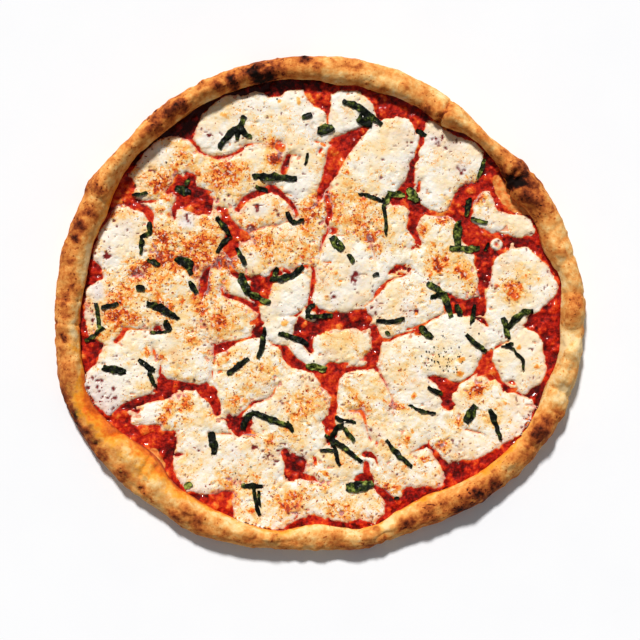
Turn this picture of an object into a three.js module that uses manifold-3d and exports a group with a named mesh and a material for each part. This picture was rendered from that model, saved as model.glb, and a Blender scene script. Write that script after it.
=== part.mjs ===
// A whole 15-inch margherita pizza, baked and uncut: a raised, blistered bread rim round a flat
// dough base, a layer of tomato sauce, melted slices of mozzarella and shreds of fresh basil.
// Millimetres, +Z up. The origin is the middle of the underside, which is flat at z = 0.
import * as THREE from 'three';
import { mergeVertices } from 'three/addons/utils/BufferGeometryUtils.js';
import Module from 'manifold-3d';

const wasm = await Module();
wasm.setup();

// ---- Driving dimensions -----------------------------------------------------------------------

const DOUGH_THICKNESS = 4.5;       // the base under the sauce
const SAUCE_THICKNESS = 1.7;
const SLICE_THICKNESS = 2.9;       // melted mozzarella at its thickest
const BASIL_THICKNESS = 0.8;
const GAP = 0.35;                  // free space between a layer and what lies on it

// The rim was shaped by hand, so each of these goes once round it in equal steps from +X. The
// inner radius is where its bread meets the sauce.
const OUTER_RADIUS = [
  197, 193, 189, 185, 178, 177, 179, 182, 182, 183, 183.5, 185, 186, 187, 187, 191, 193, 196,
  197.5, 200, 203, 202, 200, 196, 194, 190, 186, 184, 184, 184, 186, 191, 194, 196, 199, 196,
];
const INNER_RADIUS = [
  178, 179.5, 173, 169, 170, 166.5, 161, 165, 166, 166, 164, 158.5, 160, 161, 161, 160.5, 162, 162,
  165.5, 166.5, 168, 168, 169, 170, 171, 170.5, 171, 172, 174, 175, 174.5, 172.5, 172.5, 173.5, 173.5,
  174, 177, 178, 180, 181.5, 184, 184, 179.5, 173, 167, 166, 171, 172.5, 172.5, 172, 173, 172.5, 171,
  166.5, 164, 167.5, 171.5, 169, 164.5, 162.5, 163, 166.5, 170, 173.5, 176, 178.5, 180, 178.5, 177.5,
  180.5, 181, 178,
];
const RIM_HEIGHT = [17, 18, 20, 18, 18, 20, 23, 24, 22, 18, 17, 20, 19, 16, 15, 18, 18, 18];

// Bread blown up by steam: [angle, place across the rim from 0 inside to 1 outside, radius, height]
const BLISTERS = [
  [-2, 0.55, 11, 5.0], [13, 0.30, 9, 3.0], [35, 0.60, 10, 3.5], [24, 0.55, 8, 2.5], [28, 0.25, 7, 3.5],
  [55, 0.25, 8, 4.5], [78, 0.60, 9, 2.0], [105, 0.60, 11, 2.5], [126, 0.60, 8, 2.0],
  [152, 0.55, 10, 2.5], [181, 0.30, 6, 2.5], [196, 0.60, 10, 2.5], [220, 0.75, 10, 3.0],
  [217, 0.35, 13, 2.5], [238, 0.50, 9, 2.0], [258, 0.35, 7, 3.0], [283, 0.40, 6, 2.5],
  [307, 0.65, 11, 3.5], [330, 0.65, 9, 3.5], [343, 0.50, 10, 2.5],
];
const SMALL_BLISTERS = 28;

// Where the rim was folded or pinched, in the same form with a depth for the height.
const FOLDS = [
  [32, 0.28, 7, 4.5], [9, 0.75, 5, 1.5], [352, 0.5, 6, 2.5], [340, 0.5, 5, 1.5], [178, 0.6, 6, 1.5],
  [213, 0.3, 6, 2.0], [226, 0.3, 6, 2.0],
];

// Mozzarella slices, each as the places where it spread, [x, y, radius], one piece to a row.
// Slices in one row have melted into each other.
const CHEESE = [
  [[[-76, 126, 15], [-62, 132, 18], [-47, 137, 15]]],
  [[[-16, 141, 14], [-3, 133, 11], [14, 140, 13], [27, 142, 11]],
    [[-12, 104, 13], [-15, 90, 12], [-4, 112, 10]]],
  [[[55, 121, 14], [45, 108, 17], [35, 96, 16], [18, 87, 8], [52, 92, 11]]],
  [[[22, 66, 13], [36, 62, 13], [28, 55, 10], [57, 61, 8], [59, 47, 8]]],
  [[[12, 9, 14], [26, 12, 14], [16, 27, 16], [32, 30, 11], [9, 40, 8], [46, 32, 8]]],
  [[[-25, 3, 11], [-15, 12, 8], [-30, -20, 9], [-35, -8, 8]]],
  [[[-45, 43, 14], [-28, 42, 15], [-10, 44, 12]], [[-52, 67, 12], [-36, 68, 12], [-69, 76, 8]],
    [[-6, 70, 11], [-4, 60, 9]]],
  [[[-57, 99, 15], [-42, 100, 14], [-80, 95, 14]], [[-128, 95, 10], [-113, 106, 15], [-99, 107, 10]]],
  [[[-107, 50, 15], [-89, 49, 15], [-119, 69, 9], [-107, 70, 7], [-126, 47, 8]],
    [[-143, 55, 14], [-141, 40, 15], [-156, 38, 11]]],
  [[[-160, 2, 14], [-145, 8, 16], [-138, -4, 12], [-160, -15, 11], [-132, 8, 11]],
    [[-109, 15, 15], [-103, -3, 13], [-89, 8, 11]],
    [[-73, 19, 14], [-74, -12, 14], [-59, -10, 11], [-62, 24, 8]]],
  [[[-148, -39, 12], [-133, -37, 12], [-161, -66, 15], [-143, -59, 13], [-131, -59, 7]]],
  [[[-104, -32, 15], [-93, -46, 14], [-108, -46, 9]],
    [[-60, -47, 18], [-42, -43, 13], [-62, -70, 12], [-47, -60, 12]]],
  [[[-98, -80, 13], [-115, -82, 9], [-130, -86, 7], [-80, -90, 8]],
    [[-94, -108, 12], [-90, -126, 15], [-75, -122, 14], [-75, -106, 11]],
    [[-54, -112, 14], [-41, -118, 13], [-46, -131, 10]],
    [[-52, -152, 13], [-36, -152, 13], [-20, -150, 10], [-42, -138, 10]],
    [[5, -146, 11], [22, -148, 12], [38, -151, 9], [-5, -132, 9]]],
  [[[-19, -62, 12], [-8, -74, 13], [-27, -77, 12], [-41, -82, 8], [-12, -98, 13]]],
  [[[12, -118, 12], [27, -112, 13], [46, -100, 12], [50, -112, 10]],
    [[75, -89, 13], [63, -87, 9], [78, -99, 9]],
    [[74, -119, 12], [62, -124, 10], [84, -127, 8], [75, -108, 11]]],
  [[[4, -33, 8], [18, -32, 11], [27, -31, 8]]],
  [[[34, -59, 12], [24, -72, 12], [41, -71, 10]]],
  [[[60, -38, 14], [69, -38, 12], [67, -58, 14], [78, -70, 7]]],
  [[[94, -27, 15], [108, -28, 14], [98, -44, 13]]],
  [[[58, -2, 16], [74, 0, 14], [63, 10, 10], [46, -5, 10]]],
  [[[84, 55, 10], [92, 52, 9], [80, 29, 11], [96, 28, 14], [107, 13, 10]]],
  [[[86, 84, 13], [90, 104, 15], [106, 106, 15], [85, 124, 7]]],
  [[[124, 66, 9], [137, 58, 7], [149, 58, 7]]],
  [[[146, 21, 17], [157, 12, 15], [142, 3, 11], [129, 0, 6], [134, -13, 9]]],
  [[[150, -31, 11], [140, -42, 12], [154, -50, 12]]],
  [[[114, -72, 13], [138, -84, 15], [118, -95, 16], [152, -83, 9], [101, -104, 11]]],
];

// Basil shreds, [x, y, length, width, heading, bend], by the middle of each; heading and bend in
// degrees. Shreds in one row cross each other and cling together.
const BASIL = [
  [[-59, 132, 19, 5, 71, -12], [-56, 126, 12, 4, -37, 10], [-69, 123, 22, 5, 46, -35]],
  [[33, 141, 34, 5.5, -31, -15], [33, 135, 12, 8, -24, 10]],
  [[4, 129, 12, 7.5, 12, 15]],
  [[-34, 93, 33, 6, -3, -6]],
  [[-72, 57, 16, 5, -55, -10], [-72, 44, 17, 4.5, -125, 12]],
  [[-101, 30, 14, 8, -24, 20], [-98, 25, 9, 4, -50, 0]],
  [[-115, -6, 27, 5.5, -27, -18]],
  [[-165, -12, 19, 4, -80, 12], [-169, -25, 18, 4, -143, -20]],
  [[-151, -50, 18, 7, -10, 8]],
  [[-129, -47, 15, 4, -31, 20], [-125, -57, 18, 4, -74, 60]],
  [[-22, 20, 27, 4.5, 22, 60]],
  [[-57, 14, 16, 7, -72, 40], [-45, 3, 20, 5, -29, 10]],
  [[12, 44, 14, 7, -48, 15]],
  [[39, 78, 19, 3.2, -18, -30], [48, 62, 28, 2.6, -86, -10]],
  [[102, 50, 22, 7, -92, 6], [107, 40, 22, 5, 0, 20]],
  [[86, 10, 15, 5, -36, -15], [88, 5, 13, 4, 8, 0], [95, -3, 20, 5, -68, -10]],
  [[52, -14, 22, 4, 8, 30]],
  [[-9, -6, 15, 4, -100, 130], [1, -10, 21, 4, 2, -8]],
  [[-20, -26, 23, 4.5, -20, -15]],
  [[-43, -30, 23, 3.5, -103, -20]],
  [[-60, -46, 19, 5, 38, 5]],
  [[-3, -48, 16, 6, -12, -12]],
  [[117, -32, 20, 4, -38, 12]],
  [[138, -19, 17, 5, -72, -10], [147, -10, 23, 5, -145, 55]],
  [[-79, -106, 18, 7, -80, -30]],
  [[-55, -87, 16, 5, 57, -60], [-36, -87, 33, 5, -20, 6]],
  [[-51, -136, 17, 4, -6, 8], [-48, -147, 23, 3.5, -78, 10]],
  [[9, -98, 24, 4, -110, 130], [19, -109, 34, 4, -36, -12], [12, -114, 18, 3.4, -74, 8]],
  [[59, -114, 27, 4.5, -46, 25]],
  [[31, -136, 20, 8, 8, 15]],
  [[111, -83, 15, 8, -122, 10]],
  [[130, -90, 25, 4, -71, -6]],
];

const CRUST_COLOUR = 0xd2a66c;
const SAUCE_COLOUR = 0xa32a14;
const CHEESE_COLOUR = 0xefe3cd;
const BASIL_COLOUR = 0x2c3a1b;

// ---- Small tools ------------------------------------------------------------------------------

const TURN = 2 * Math.PI;
const radians = THREE.MathUtils.degToRad;

// Seeded, so that every build gives the same pizza.
let seed = 1889;
const random = () => {
  seed = (seed * 16807) % 2147483647;
  return seed / 2147483647;
};

const smooth = (low, high, value) => THREE.MathUtils.smoothstep(value, low, high);

// A value that goes smoothly once round the rim through equally spaced samples.
function around(samples, angle) {
  const count = samples.length;
  const place = ((angle / TURN) % 1 + 1) % 1 * count;
  const step = Math.floor(place);
  const [a, b, c, d] = [-1, 0, 1, 2].map((offset) => samples[(step + offset + count) % count]);
  const t = place - step;
  return b + 0.5 * t * (c - a + t * (2 * a - 5 * b + 4 * c - d + t * (3 * (b - c) + d - a)));
}

// A closed solid from rings of points, each an array of [x, y, z], that run from the middle of
// its top out over its edge to the middle of its underside, and the two middle points.
function solidOfRings(topMiddle, rings, bottomMiddle) {
  const sides = rings[0].length;
  const positions = [topMiddle, ...rings.flat(), bottomMiddle].flat();
  const last = positions.length / 3 - 1;
  const faces = [];
  for (let side = 0; side < sides; side++) {
    const next = (side + 1) % sides;
    faces.push(0, 1 + side, 1 + next);
    for (let ring = 0; ring < rings.length - 1; ring++) {
      const inner = 1 + ring * sides;
      const outer = inner + sides;
      faces.push(inner + side, outer + side, outer + next);
      faces.push(inner + side, outer + next, inner + next);
    }
    const rim = 1 + (rings.length - 1) * sides;
    faces.push(last, rim + next, rim + side);
  }
  const geometry = new THREE.BufferGeometry();
  geometry.setAttribute('position', new THREE.Float32BufferAttribute(positions, 3));
  geometry.setIndex(faces);
  return geometry;
}

function toManifold(geometry) {
  const merged = mergeVertices(geometry, 1e-4);
  return new wasm.Manifold(new wasm.Mesh({
    numProp: 3,
    vertProperties: new Float32Array(merged.attributes.position.array),
    triVerts: new Uint32Array(merged.index.array),
  }));
}

// One solid from several that run into each other, with any hollow sealed between them filled.
function joined(geometries) {
  if (geometries.length === 1) {
    return geometries[0];
  }
  const union = geometries.map(toManifold).reduce((whole, piece) => whole.add(piece));
  const skins = union.decompose().filter((skin) => skin.volume() > 0);
  const mesh = wasm.Manifold.compose(skins).getMesh();
  const geometry = new THREE.BufferGeometry();
  geometry.setAttribute('position', new THREE.Float32BufferAttribute(mesh.vertProperties, 3));
  geometry.setIndex([...mesh.triVerts]);
  return geometry;
}

// The top of all that has been laid so far, on a square grid, for what is laid on it.
class Ground {
  constructor(reach, step) {
    this.reach = reach;
    this.step = step;
    this.side = Math.ceil(2 * reach / step) + 1;
    this.heights = new Float32Array(this.side * this.side);
  }

  cell(value) {
    return (value + this.reach) / this.step;
  }

  add(geometry) {
    const position = geometry.attributes.position;
    const corners = [new THREE.Vector3(), new THREE.Vector3(), new THREE.Vector3()];
    for (let face = 0; face < geometry.index.count; face += 3) {
      corners.forEach((corner, i) => {
        corner.fromBufferAttribute(position, geometry.index.getX(face + i));
      });
      this.addFace(corners);
    }
  }

  addFace([a, b, c]) {
    const area = (b.x - a.x) * (c.y - a.y) - (c.x - a.x) * (b.y - a.y);
    if (area <= 0) {
      return;
    }
    const range = (key, round, pick) => round(this.cell(pick(a[key], b[key], c[key])));
    for (let row = range('y', Math.ceil, Math.min); row <= range('y', Math.floor, Math.max); row++) {
      for (let col = range('x', Math.ceil, Math.min); col <= range('x', Math.floor, Math.max); col++) {
        const x = col * this.step - this.reach;
        const y = row * this.step - this.reach;
        const v = ((x - a.x) * (c.y - a.y) - (c.x - a.x) * (y - a.y)) / area;
        const w = ((b.x - a.x) * (y - a.y) - (x - a.x) * (b.y - a.y)) / area;
        if (v >= 0 && w >= 0 && v + w <= 1) {
          const index = row * this.side + col;
          const height = a.z + v * (b.z - a.z) + w * (c.z - a.z);
          this.heights[index] = Math.max(this.heights[index], height);
        }
      }
    }
  }

  highest(x, y, reach) {
    let height = 0;
    for (let row = Math.floor(this.cell(y - reach)); row <= this.cell(y + reach) + 1; row++) {
      for (let col = Math.floor(this.cell(x - reach)); col <= this.cell(x + reach) + 1; col++) {
        height = Math.max(height, this.heights[row * this.side + col]);
      }
    }
    return height;
  }
}

const pizza = new THREE.Group();

function addPiece(name, geometry, colour, roughness) {
  const material = new THREE.MeshStandardMaterial({ color: colour, roughness, metalness: 0 });
  const mesh = new THREE.Mesh(geometry, material);
  mesh.name = name;
  pizza.add(mesh);
}

// ---- Crust: one piece of bread, a flat base with a hollow-sided, puffed rim -------------------

const SECTORS = 144;
const CREST = 0.52;                // where the rim is highest, as a share of its width
const EQUATOR = 0.42;              // height of its widest line, as a share of its height
const TUCK = 6;                    // how far the rim curls in under itself
const INNER_STEPS = [0, 0.12, 0.3, 0.52, 0.76, 1];
const OUTER_STEPS = [1 / 3, 2 / 3, 1];
const PLUMPNESS = 0.8;             // under 1 swells the rim's inner slope
const SIDE_SWELL = 0.35;           // how much of a blister's height bulges sideways
const BLISTER_TOP = 0.25;          // the flat top of a blister and its foot, as shares of its radius
const BLISTER_FOOT = 1.15;

const innerRadius = (angle) => around(INNER_RADIUS, angle);
const rimWidth = (angle) => around(OUTER_RADIUS, angle) - innerRadius(angle);

const between = (low, high) => low + (high - low) * random();
const smallBlisters = Array.from({ length: SMALL_BLISTERS }, () => [
  between(0, 360), between(0.35, 0.8), between(7, 12), between(0.8, 2),
]);
const folds = FOLDS.map(([degrees, place, size, depth]) => [degrees, place, size, -depth]);
const bulges = [...BLISTERS, ...smallBlisters, ...folds];

// How far the bread is blown out at a place on the rim.
function blown(angle, across) {
  const radius = innerRadius(angle) + across * rimWidth(angle);
  let height = 0;
  for (const [degrees, place, size, rise] of bulges) {
    const there = radians(degrees);
    const turn = Math.atan2(Math.sin(angle - there), Math.cos(angle - there));
    const away = Math.hypot(turn * radius, (across - place) * rimWidth(there));
    height += rise * (1 - smooth(BLISTER_TOP * size, BLISTER_FOOT * size, away));
  }
  return height;
}

function rimSection(angle) {
  const inner = innerRadius(angle);
  const width = rimWidth(angle);
  const height = around(RIM_HEIGHT, angle);
  const section = [];
  for (const step of INNER_STEPS) {
    const rise = Math.sin(step * Math.PI / 2) ** PLUMPNESS;
    const across = CREST * step;
    const lift = step > 0 ? blown(angle, across) * rise : 0;
    section.push([inner + across * width, DOUGH_THICKNESS + (height - DOUGH_THICKNESS) * rise + lift]);
  }
  for (const step of OUTER_STEPS) {
    const bow = step * Math.PI / 2;
    const across = CREST + (1 - CREST) * Math.sin(bow);
    const swell = blown(angle, across);
    section.push([
      inner + across * width + SIDE_SWELL * swell * Math.sin(bow),
      height * (EQUATOR + (1 - EQUATOR) * Math.cos(bow)) + swell * Math.cos(bow),
    ]);
  }
  for (const step of OUTER_STEPS) {
    const bow = step * Math.PI / 2;
    const swell = SIDE_SWELL * blown(angle, 1) * (1 - step);
    section.push([
      inner + width - TUCK * (1 - Math.cos(bow)) + swell,
      height * EQUATOR * (1 - Math.sin(bow)),
    ]);
  }
  return section;
}

function crustGeometry() {
  const sections = Array.from({ length: SECTORS }, (_, i) => rimSection(TURN * i / SECTORS));
  const rings = sections[0].map((_, ring) => sections.map((section, i) => {
    const angle = TURN * i / SECTORS;
    const [radius, height] = section[ring];
    return [radius * Math.cos(angle), radius * Math.sin(angle), Math.max(0, height)];
  }));
  return solidOfRings([0, 0, DOUGH_THICKNESS], rings, [0, 0, 0]);
}

const crust = crustGeometry();
addPiece('crust', crust, CRUST_COLOUR, 0.85);

// ---- Tomato sauce: one thin layer from the middle of the base to the foot of the rim ----------

const SAUCE_SECTORS = 75;
const SAUCE_BOTTOM = DOUGH_THICKNESS + GAP;
const SAUCE_EDGE = 1.2;            // free space between the sauce and the rim
const SAUCE_BEVEL = 2.5;           // how far the top edge of the sauce slopes
const SAUCE_TUCK = 0.4;            // how far its underside draws in
const SAUCE_WAVE = { height: 0.25, across: 27, along: 31, shift: 0.6 };

const sauceTop = (x, y) => SAUCE_BOTTOM + SAUCE_THICKNESS + SAUCE_WAVE.height
  * Math.sin(x / SAUCE_WAVE.across + SAUCE_WAVE.shift) * Math.cos(y / SAUCE_WAVE.along);

function sauceGeometry() {
  const ring = (inset, share, height) => Array.from({ length: SAUCE_SECTORS }, (_, i) => {
    const angle = TURN * i / SAUCE_SECTORS;
    const radius = share * (innerRadius(angle) - SAUCE_EDGE - inset);
    const [x, y] = [radius * Math.cos(angle), radius * Math.sin(angle)];
    return [x, y, height(x, y)];
  });
  const halfway = () => SAUCE_BOTTOM + 0.5 * SAUCE_THICKNESS;
  const rings = [
    ring(SAUCE_BEVEL, 0.5, sauceTop),
    ring(SAUCE_BEVEL, 1, sauceTop),
    ring(0, 1, halfway),
    ring(SAUCE_TUCK, 1, () => SAUCE_BOTTOM),
  ];
  return solidOfRings([0, 0, sauceTop(0, 0)], rings, [0, 0, SAUCE_BOTTOM]);
}

const sauce = sauceGeometry();
addPiece('tomato_sauce', sauce, SAUCE_COLOUR, 0.45);

// ---- Mozzarella: slices that melted, spread and ran up against each other ---------------------

const SPREAD = 2;                  // how far the cheese ran past the places listed above
const SEAM = 1.6;                  // sauce left showing between two pieces
const MELT = 3;                    // how far apart two lobes of a slice still run together
const RIM_MARGIN = 1.8;            // between the cheese and the rim
const OUTLINE_RAYS = 60;
const OUTLINE_STEP = 11;
const MARCH = 0.25;                // steps along a ray towards the edge of a slice
const NEAR_RIVAL = 60;
const RAGGED = { depth: 1.1, across: 3.7, along: 3.3, swayX: 6.3, swayY: 5.1, shift: 1.7 };
const UNEVEN = [0.85, 1.15];       // how uneven the thickness is
const SHOULDER = 0.55;             // where the middle ring of a slice lies, as a share of its size
const BROW = { inset: 1.6, thickness: [0.6, 0.75] };
const LIP_THICKNESS = 0.3;
const UNDERCUT = 0.7;

// The ragged edge of melted cheese: the same wander for all, so that neighbours keep their seam.
const ragged = (x, y) => RAGGED.depth * (Math.sin(x / RAGGED.across + Math.sin(y / RAGGED.swayY))
  + Math.sin(y / RAGGED.along + Math.sin(x / RAGGED.swayX) + RAGGED.shift));

// Distance past the edge of a slice, less than nothing inside it.
function pastEdge(lobes, x, y) {
  const sum = lobes.reduce((total, [cx, cy, radius]) =>
    total + Math.exp((radius - Math.hypot(x - cx, y - cy)) / MELT), 0);
  return -MELT * Math.log(sum) - SPREAD;
}

const pastPiece = (piece, x, y) => Math.min(...piece.map((lobes) => pastEdge(lobes, x, y)));

// A point is cheese of one slice if it is inside it, clear of the rim and nearer to its heart than
// to that of any slice of another piece.
function outsideSlice(lobes, rivals, x, y) {
  const own = pastEdge(lobes, x, y) + ragged(x, y);
  const rim = Math.hypot(x, y) - innerRadius(Math.atan2(y, x)) + RIM_MARGIN;
  const seams = rivals.map((rival) => (own - ragged(x, y) - pastPiece(rival, x, y) + SEAM) / 2);
  return Math.max(own, rim, ...seams) > 0;
}

function heart(lobes) {
  const weight = lobes.reduce((total, [, , radius]) => total + radius ** 2, 0);
  return [0, 1].map((axis) =>
    lobes.reduce((total, lobe) => total + lobe[axis] * lobe[2] ** 2, 0) / weight);
}

// The outline of a slice as seen from its middle, in equal steps along the edge.
function sliceOutline(lobes, rivals) {
  const [cx, cy] = heart(lobes);
  const near = rivals.filter((rival) => pastPiece(rival, cx, cy) < NEAR_RIVAL);
  const edge = new THREE.CatmullRomCurve3(Array.from({ length: OUTLINE_RAYS }, (_, i) => {
    const angle = TURN * i / OUTLINE_RAYS;
    let radius = 0;
    while (!outsideSlice(lobes, near, cx + radius * Math.cos(angle), cy + radius * Math.sin(angle))) {
      radius += MARCH;
    }
    return new THREE.Vector3(cx + radius * Math.cos(angle), cy + radius * Math.sin(angle), 0);
  }), true);
  const sides = Math.max(12, Math.round(edge.getLength() / OUTLINE_STEP));
  return edge.getSpacedPoints(sides).slice(0, sides).map((point) => [point.x, point.y]);
}

function sliceGeometry(lobes, rivals) {
  const [cx, cy] = heart(lobes);
  const outline = sliceOutline(lobes, rivals);
  const thickness = SLICE_THICKNESS * between(...UNEVEN);
  const towardsHeart = ([x, y], share) => [cx + (x - cx) * share, cy + (y - cy) * share];
  const inset = ([x, y], amount) =>
    towardsHeart([x, y], Math.max(0.2, 1 - amount / Math.hypot(x - cx, y - cy)));
  const ring = (amount, height) => outline.map((point) => {
    const [x, y] = inset(point, amount);
    return [x, y, sauceTop(x, y) + GAP + height()];
  });
  const rings = [
    outline.map((point) => {
      const [x, y] = towardsHeart(point, SHOULDER);
      return [x, y, sauceTop(x, y) + GAP + thickness * between(...UNEVEN)];
    }),
    ring(BROW.inset, () => thickness * between(...BROW.thickness)),
    ring(0, () => thickness * LIP_THICKNESS),
    ring(UNDERCUT, () => 0),
  ];
  const floor = sauceTop(cx, cy) + GAP;
  return solidOfRings([cx, cy, floor + thickness], rings, [cx, cy, floor]);
}

const ground = new Ground(210, 1);
ground.add(crust);
ground.add(sauce);

const twoDigits = (index) => String(index + 1).padStart(2, '0');

CHEESE.forEach((piece, index) => {
  const rivals = CHEESE.filter((other) => other !== piece);
  const geometry = joined(piece.map((lobes) => sliceGeometry(lobes, rivals)));
  ground.add(geometry);
  addPiece(`mozzarella_${twoDigits(index)}`, geometry, CHEESE_COLOUR, 0.55);
});

// ---- Basil: thin wilted shreds of leaf that drape over what they fell on ----------------------

const SHRED_STEP = 4;
const CURL = { height: 1.1, along: 5, across: 2.2 };    // how its long edges lift, in waves
const WIDE_SHRED = 4.5;            // a wider shred has a fold line down its middle
const TIP = { inset: 0.14, bluntness: 0.6 };

// The middle line of a shred as stations of place and direction along an arc.
function shredStations([x, y, length, , heading, bend]) {
  const count = Math.max(4, Math.round(length / SHRED_STEP));
  const step = length / count;
  const turnPerStep = radians(bend) / count;
  const stations = [];
  let direction = radians(heading - bend / 2);
  let [px, py] = [0, 0];
  for (let i = 0; i <= count; i++) {
    stations.push({ x: px, y: py, direction, along: i / count });
    px += step * Math.cos(direction + turnPerStep / 2);
    py += step * Math.sin(direction + turnPerStep / 2);
    direction += turnPerStep;
  }
  const middle = stations[Math.round(count / 2)];
  const shift = [x - middle.x, y - middle.y];
  return stations.map((s) => ({ ...s, x: s.x + shift[0], y: s.y + shift[1] }));
}

function shredGeometry(shred) {
  const width = shred[3];
  const columns = width > WIDE_SHRED ? 3 : 2;
  const phase = TURN * random();
  const stations = shredStations(shred).map((station) => {
    const taper = Math.sin(Math.PI * (TIP.inset + (1 - 2 * TIP.inset) * station.along));
    const half = 0.5 * width * taper ** TIP.bluntness;
    const rest = ground.highest(station.x, station.y, 0.5 * width + SHRED_STEP) + GAP;
    return Array.from({ length: columns }, (_, column) => {
      const side = 2 * column / (columns - 1) - 1;
      const wave = Math.sin(phase + CURL.along * station.along + CURL.across * side);
      const lift = CURL.height * (0.5 + 0.5 * wave);
      return [
        station.x - side * half * Math.sin(station.direction),
        station.y + side * half * Math.cos(station.direction),
        rest + lift,
      ];
    });
  });
  const top = stations.map((row) => row.map(([x, y, z]) => [x, y, z + BASIL_THICKNESS]));
  const positions = [...stations.flat(), ...top.flat()].flat();
  const faces = [];
  const size = stations.length * columns;
  const quad = (a, b, c, d) => faces.push(a, b, c, a, c, d);
  for (let row = 0; row < stations.length - 1; row++) {
    for (let column = 0; column < columns - 1; column++) {
      const a = row * columns + column;
      quad(size + a, size + a + columns, size + a + columns + 1, size + a + 1);
      quad(a + 1, a + columns + 1, a + columns, a);
    }
    const left = row * columns;
    const right = left + columns - 1;
    quad(left, left + columns, size + left + columns, size + left);
    quad(right + columns, right, size + right, size + right + columns);
  }
  const lastRow = (stations.length - 1) * columns;
  for (let column = 0; column < columns - 1; column++) {
    quad(column + 1, column, size + column, size + column + 1);
    const a = lastRow + column;
    quad(a, a + 1, size + a + 1, size + a);
  }
  const geometry = new THREE.BufferGeometry();
  geometry.setAttribute('position', new THREE.Float32BufferAttribute(positions, 3));
  geometry.setIndex(faces);
  return geometry;
}

BASIL.forEach((shreds, index) => {
  const geometry = joined(shreds.map(shredGeometry));
  ground.add(geometry);
  addPiece(`basil_${twoDigits(index)}`, geometry, BASIL_COLOUR, 0.5);
});

// ---- The middle of the underside is the origin ------------------------------------------------

crust.computeBoundingBox();
const middle = crust.boundingBox.getCenter(new THREE.Vector3());
pizza.position.set(-middle.x, -middle.y, 0);

export default pizza;
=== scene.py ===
"""The looks of a whole margherita pizza, made round its fixed frame: the baked crust, the tomato
sauce, the melted mozzarella, the basil and the pepper, from the bottom up, then the light and camera.
"""
import math

import bpy
import numpy as np
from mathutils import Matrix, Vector
from mathutils.bvhtree import BVHTree
from mathutils.kdtree import KDTree


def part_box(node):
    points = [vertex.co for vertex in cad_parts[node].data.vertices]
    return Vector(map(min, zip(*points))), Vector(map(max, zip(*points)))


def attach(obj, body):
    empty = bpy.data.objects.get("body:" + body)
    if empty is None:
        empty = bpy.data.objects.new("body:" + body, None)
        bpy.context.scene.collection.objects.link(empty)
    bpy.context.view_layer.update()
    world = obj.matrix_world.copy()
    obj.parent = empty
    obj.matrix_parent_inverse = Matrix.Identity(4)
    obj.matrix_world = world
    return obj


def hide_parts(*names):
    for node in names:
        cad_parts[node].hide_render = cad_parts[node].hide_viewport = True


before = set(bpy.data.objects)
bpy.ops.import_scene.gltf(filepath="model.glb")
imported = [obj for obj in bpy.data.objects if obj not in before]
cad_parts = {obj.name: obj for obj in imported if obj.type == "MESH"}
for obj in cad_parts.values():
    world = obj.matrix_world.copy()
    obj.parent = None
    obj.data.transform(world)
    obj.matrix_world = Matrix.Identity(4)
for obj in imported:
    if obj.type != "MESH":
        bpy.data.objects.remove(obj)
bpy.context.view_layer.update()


# ---- Crust ------------------------------------------------------------------------------------
# One piece of baked wheat dough: a flat base and a puffed rim, shaped by hand. The rim is cream
# where it was shaded by its own curve, golden tan on top and charred on its highest blisters. Its
# creases, wrinkles and a few places on its slopes also carry painted shade, and its top at the right
# carries painted light.

MM = 0.001
BASE_TOP = 4.5                     # the height of the flat base
MIDDLE = 20                        # nearer than this the base has only its own middle points
RIM_POINTS = 12                    # points of each section of the rim in the frame
# How brown the rim is on its top and outer side, how brown on its inner slope, and how far orange
# oil crept up it: each goes once round from +X, in steps of 10 degrees. The first two also carry
# painted shade and light: the inner values at 10, 20, 50 and 60 degrees are set browner as painted
# shade, and the top at 340 and 350 degrees is set paler as painted light where the lamp leaves it shaded.
TOP_BAKE_AND_SHADING = (
    0.27, 0.39, 0.28, 0.42, 0.44, 0.36, 0.32, 0.36, 0.37, 0.42, 0.46, 0.46, 0.45, 0.45, 0.45, 0.45,
    0.50, 0.48, 0.44, 0.44, 0.55, 0.52, 0.36, 0.30, 0.38, 0.46, 0.42, 0.30, 0.38, 0.42, 0.50, 0.52,
    0.36, 0.46, 0.04, 0.06,
)
INNER_BAKE_AND_SHADING = (
    0.24, 0.28, 0.30, 0.38, 0.38, 0.30, 0.36, 0.28, 0.26, 0.28, 0.34, 0.32, 0.30, 0.26, 0.22, 0.18,
    0.14, 0.12, 0.14, 0.20, 0.30, 0.22, 0.08, 0.06, 0.12, 0.18, 0.16, 0.10, 0.16, 0.20, 0.22, 0.24,
    0.26, 0.24, 0.00, 0.03,
)
OIL_REACH = (
    4, 3, 4, 6, 6, 6, 5, 4, 4, 4, 4, 4, 5, 6, 8, 11, 11, 10, 8, 12, 20, 22, 20, 15, 12, 12, 10, 6, 8, 9, 9,
    10, 10, 7, 4, 4,
)
AROUND = 900
ACROSS_STEP = 6                    # smooth steps between two points of a section
PLUMP = 2.6                        # how far the inner side of the rim bulges
BLISTERS = 520
BLISTER_SIZES = (1.0, 5.0)         # the radius of the smallest and of the largest
CHAR_SPREAD = 2.4                  # how far the browning round a charred place goes, in radii
UNDERSIDE_RINGS = (0.97, 0.9, 0.78, 0.6, 0.4, 0.2)


def cad_points(name):
    """The corners of a solid of the frame, each once, in millimetres."""
    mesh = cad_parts[name].data
    points = np.empty(len(mesh.vertices) * 3)
    mesh.vertices.foreach_get("co", points)
    return np.unique(np.round(points.reshape(-1, 3) / MM, 3), axis=0)


def along_curve(rows, places, closed=False):
    """The rows at fractional places, on a smooth curve through them."""
    step = np.floor(places).astype(int)
    t = (places - step).reshape(-1, *[1] * (rows.ndim - 1))
    picks = [step + k for k in (-1, 0, 1, 2)]
    if closed:
        picks = [pick % len(rows) for pick in picks]
    else:
        picks = [np.clip(pick, 0, len(rows) - 1) for pick in picks]
    a, b, c, d = (rows[pick] for pick in picks)
    return b + 0.5 * t * (c - a + t * (2 * a - 5 * b + 4 * c - d + t * (3 * (b - c) + d - a)))


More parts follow.
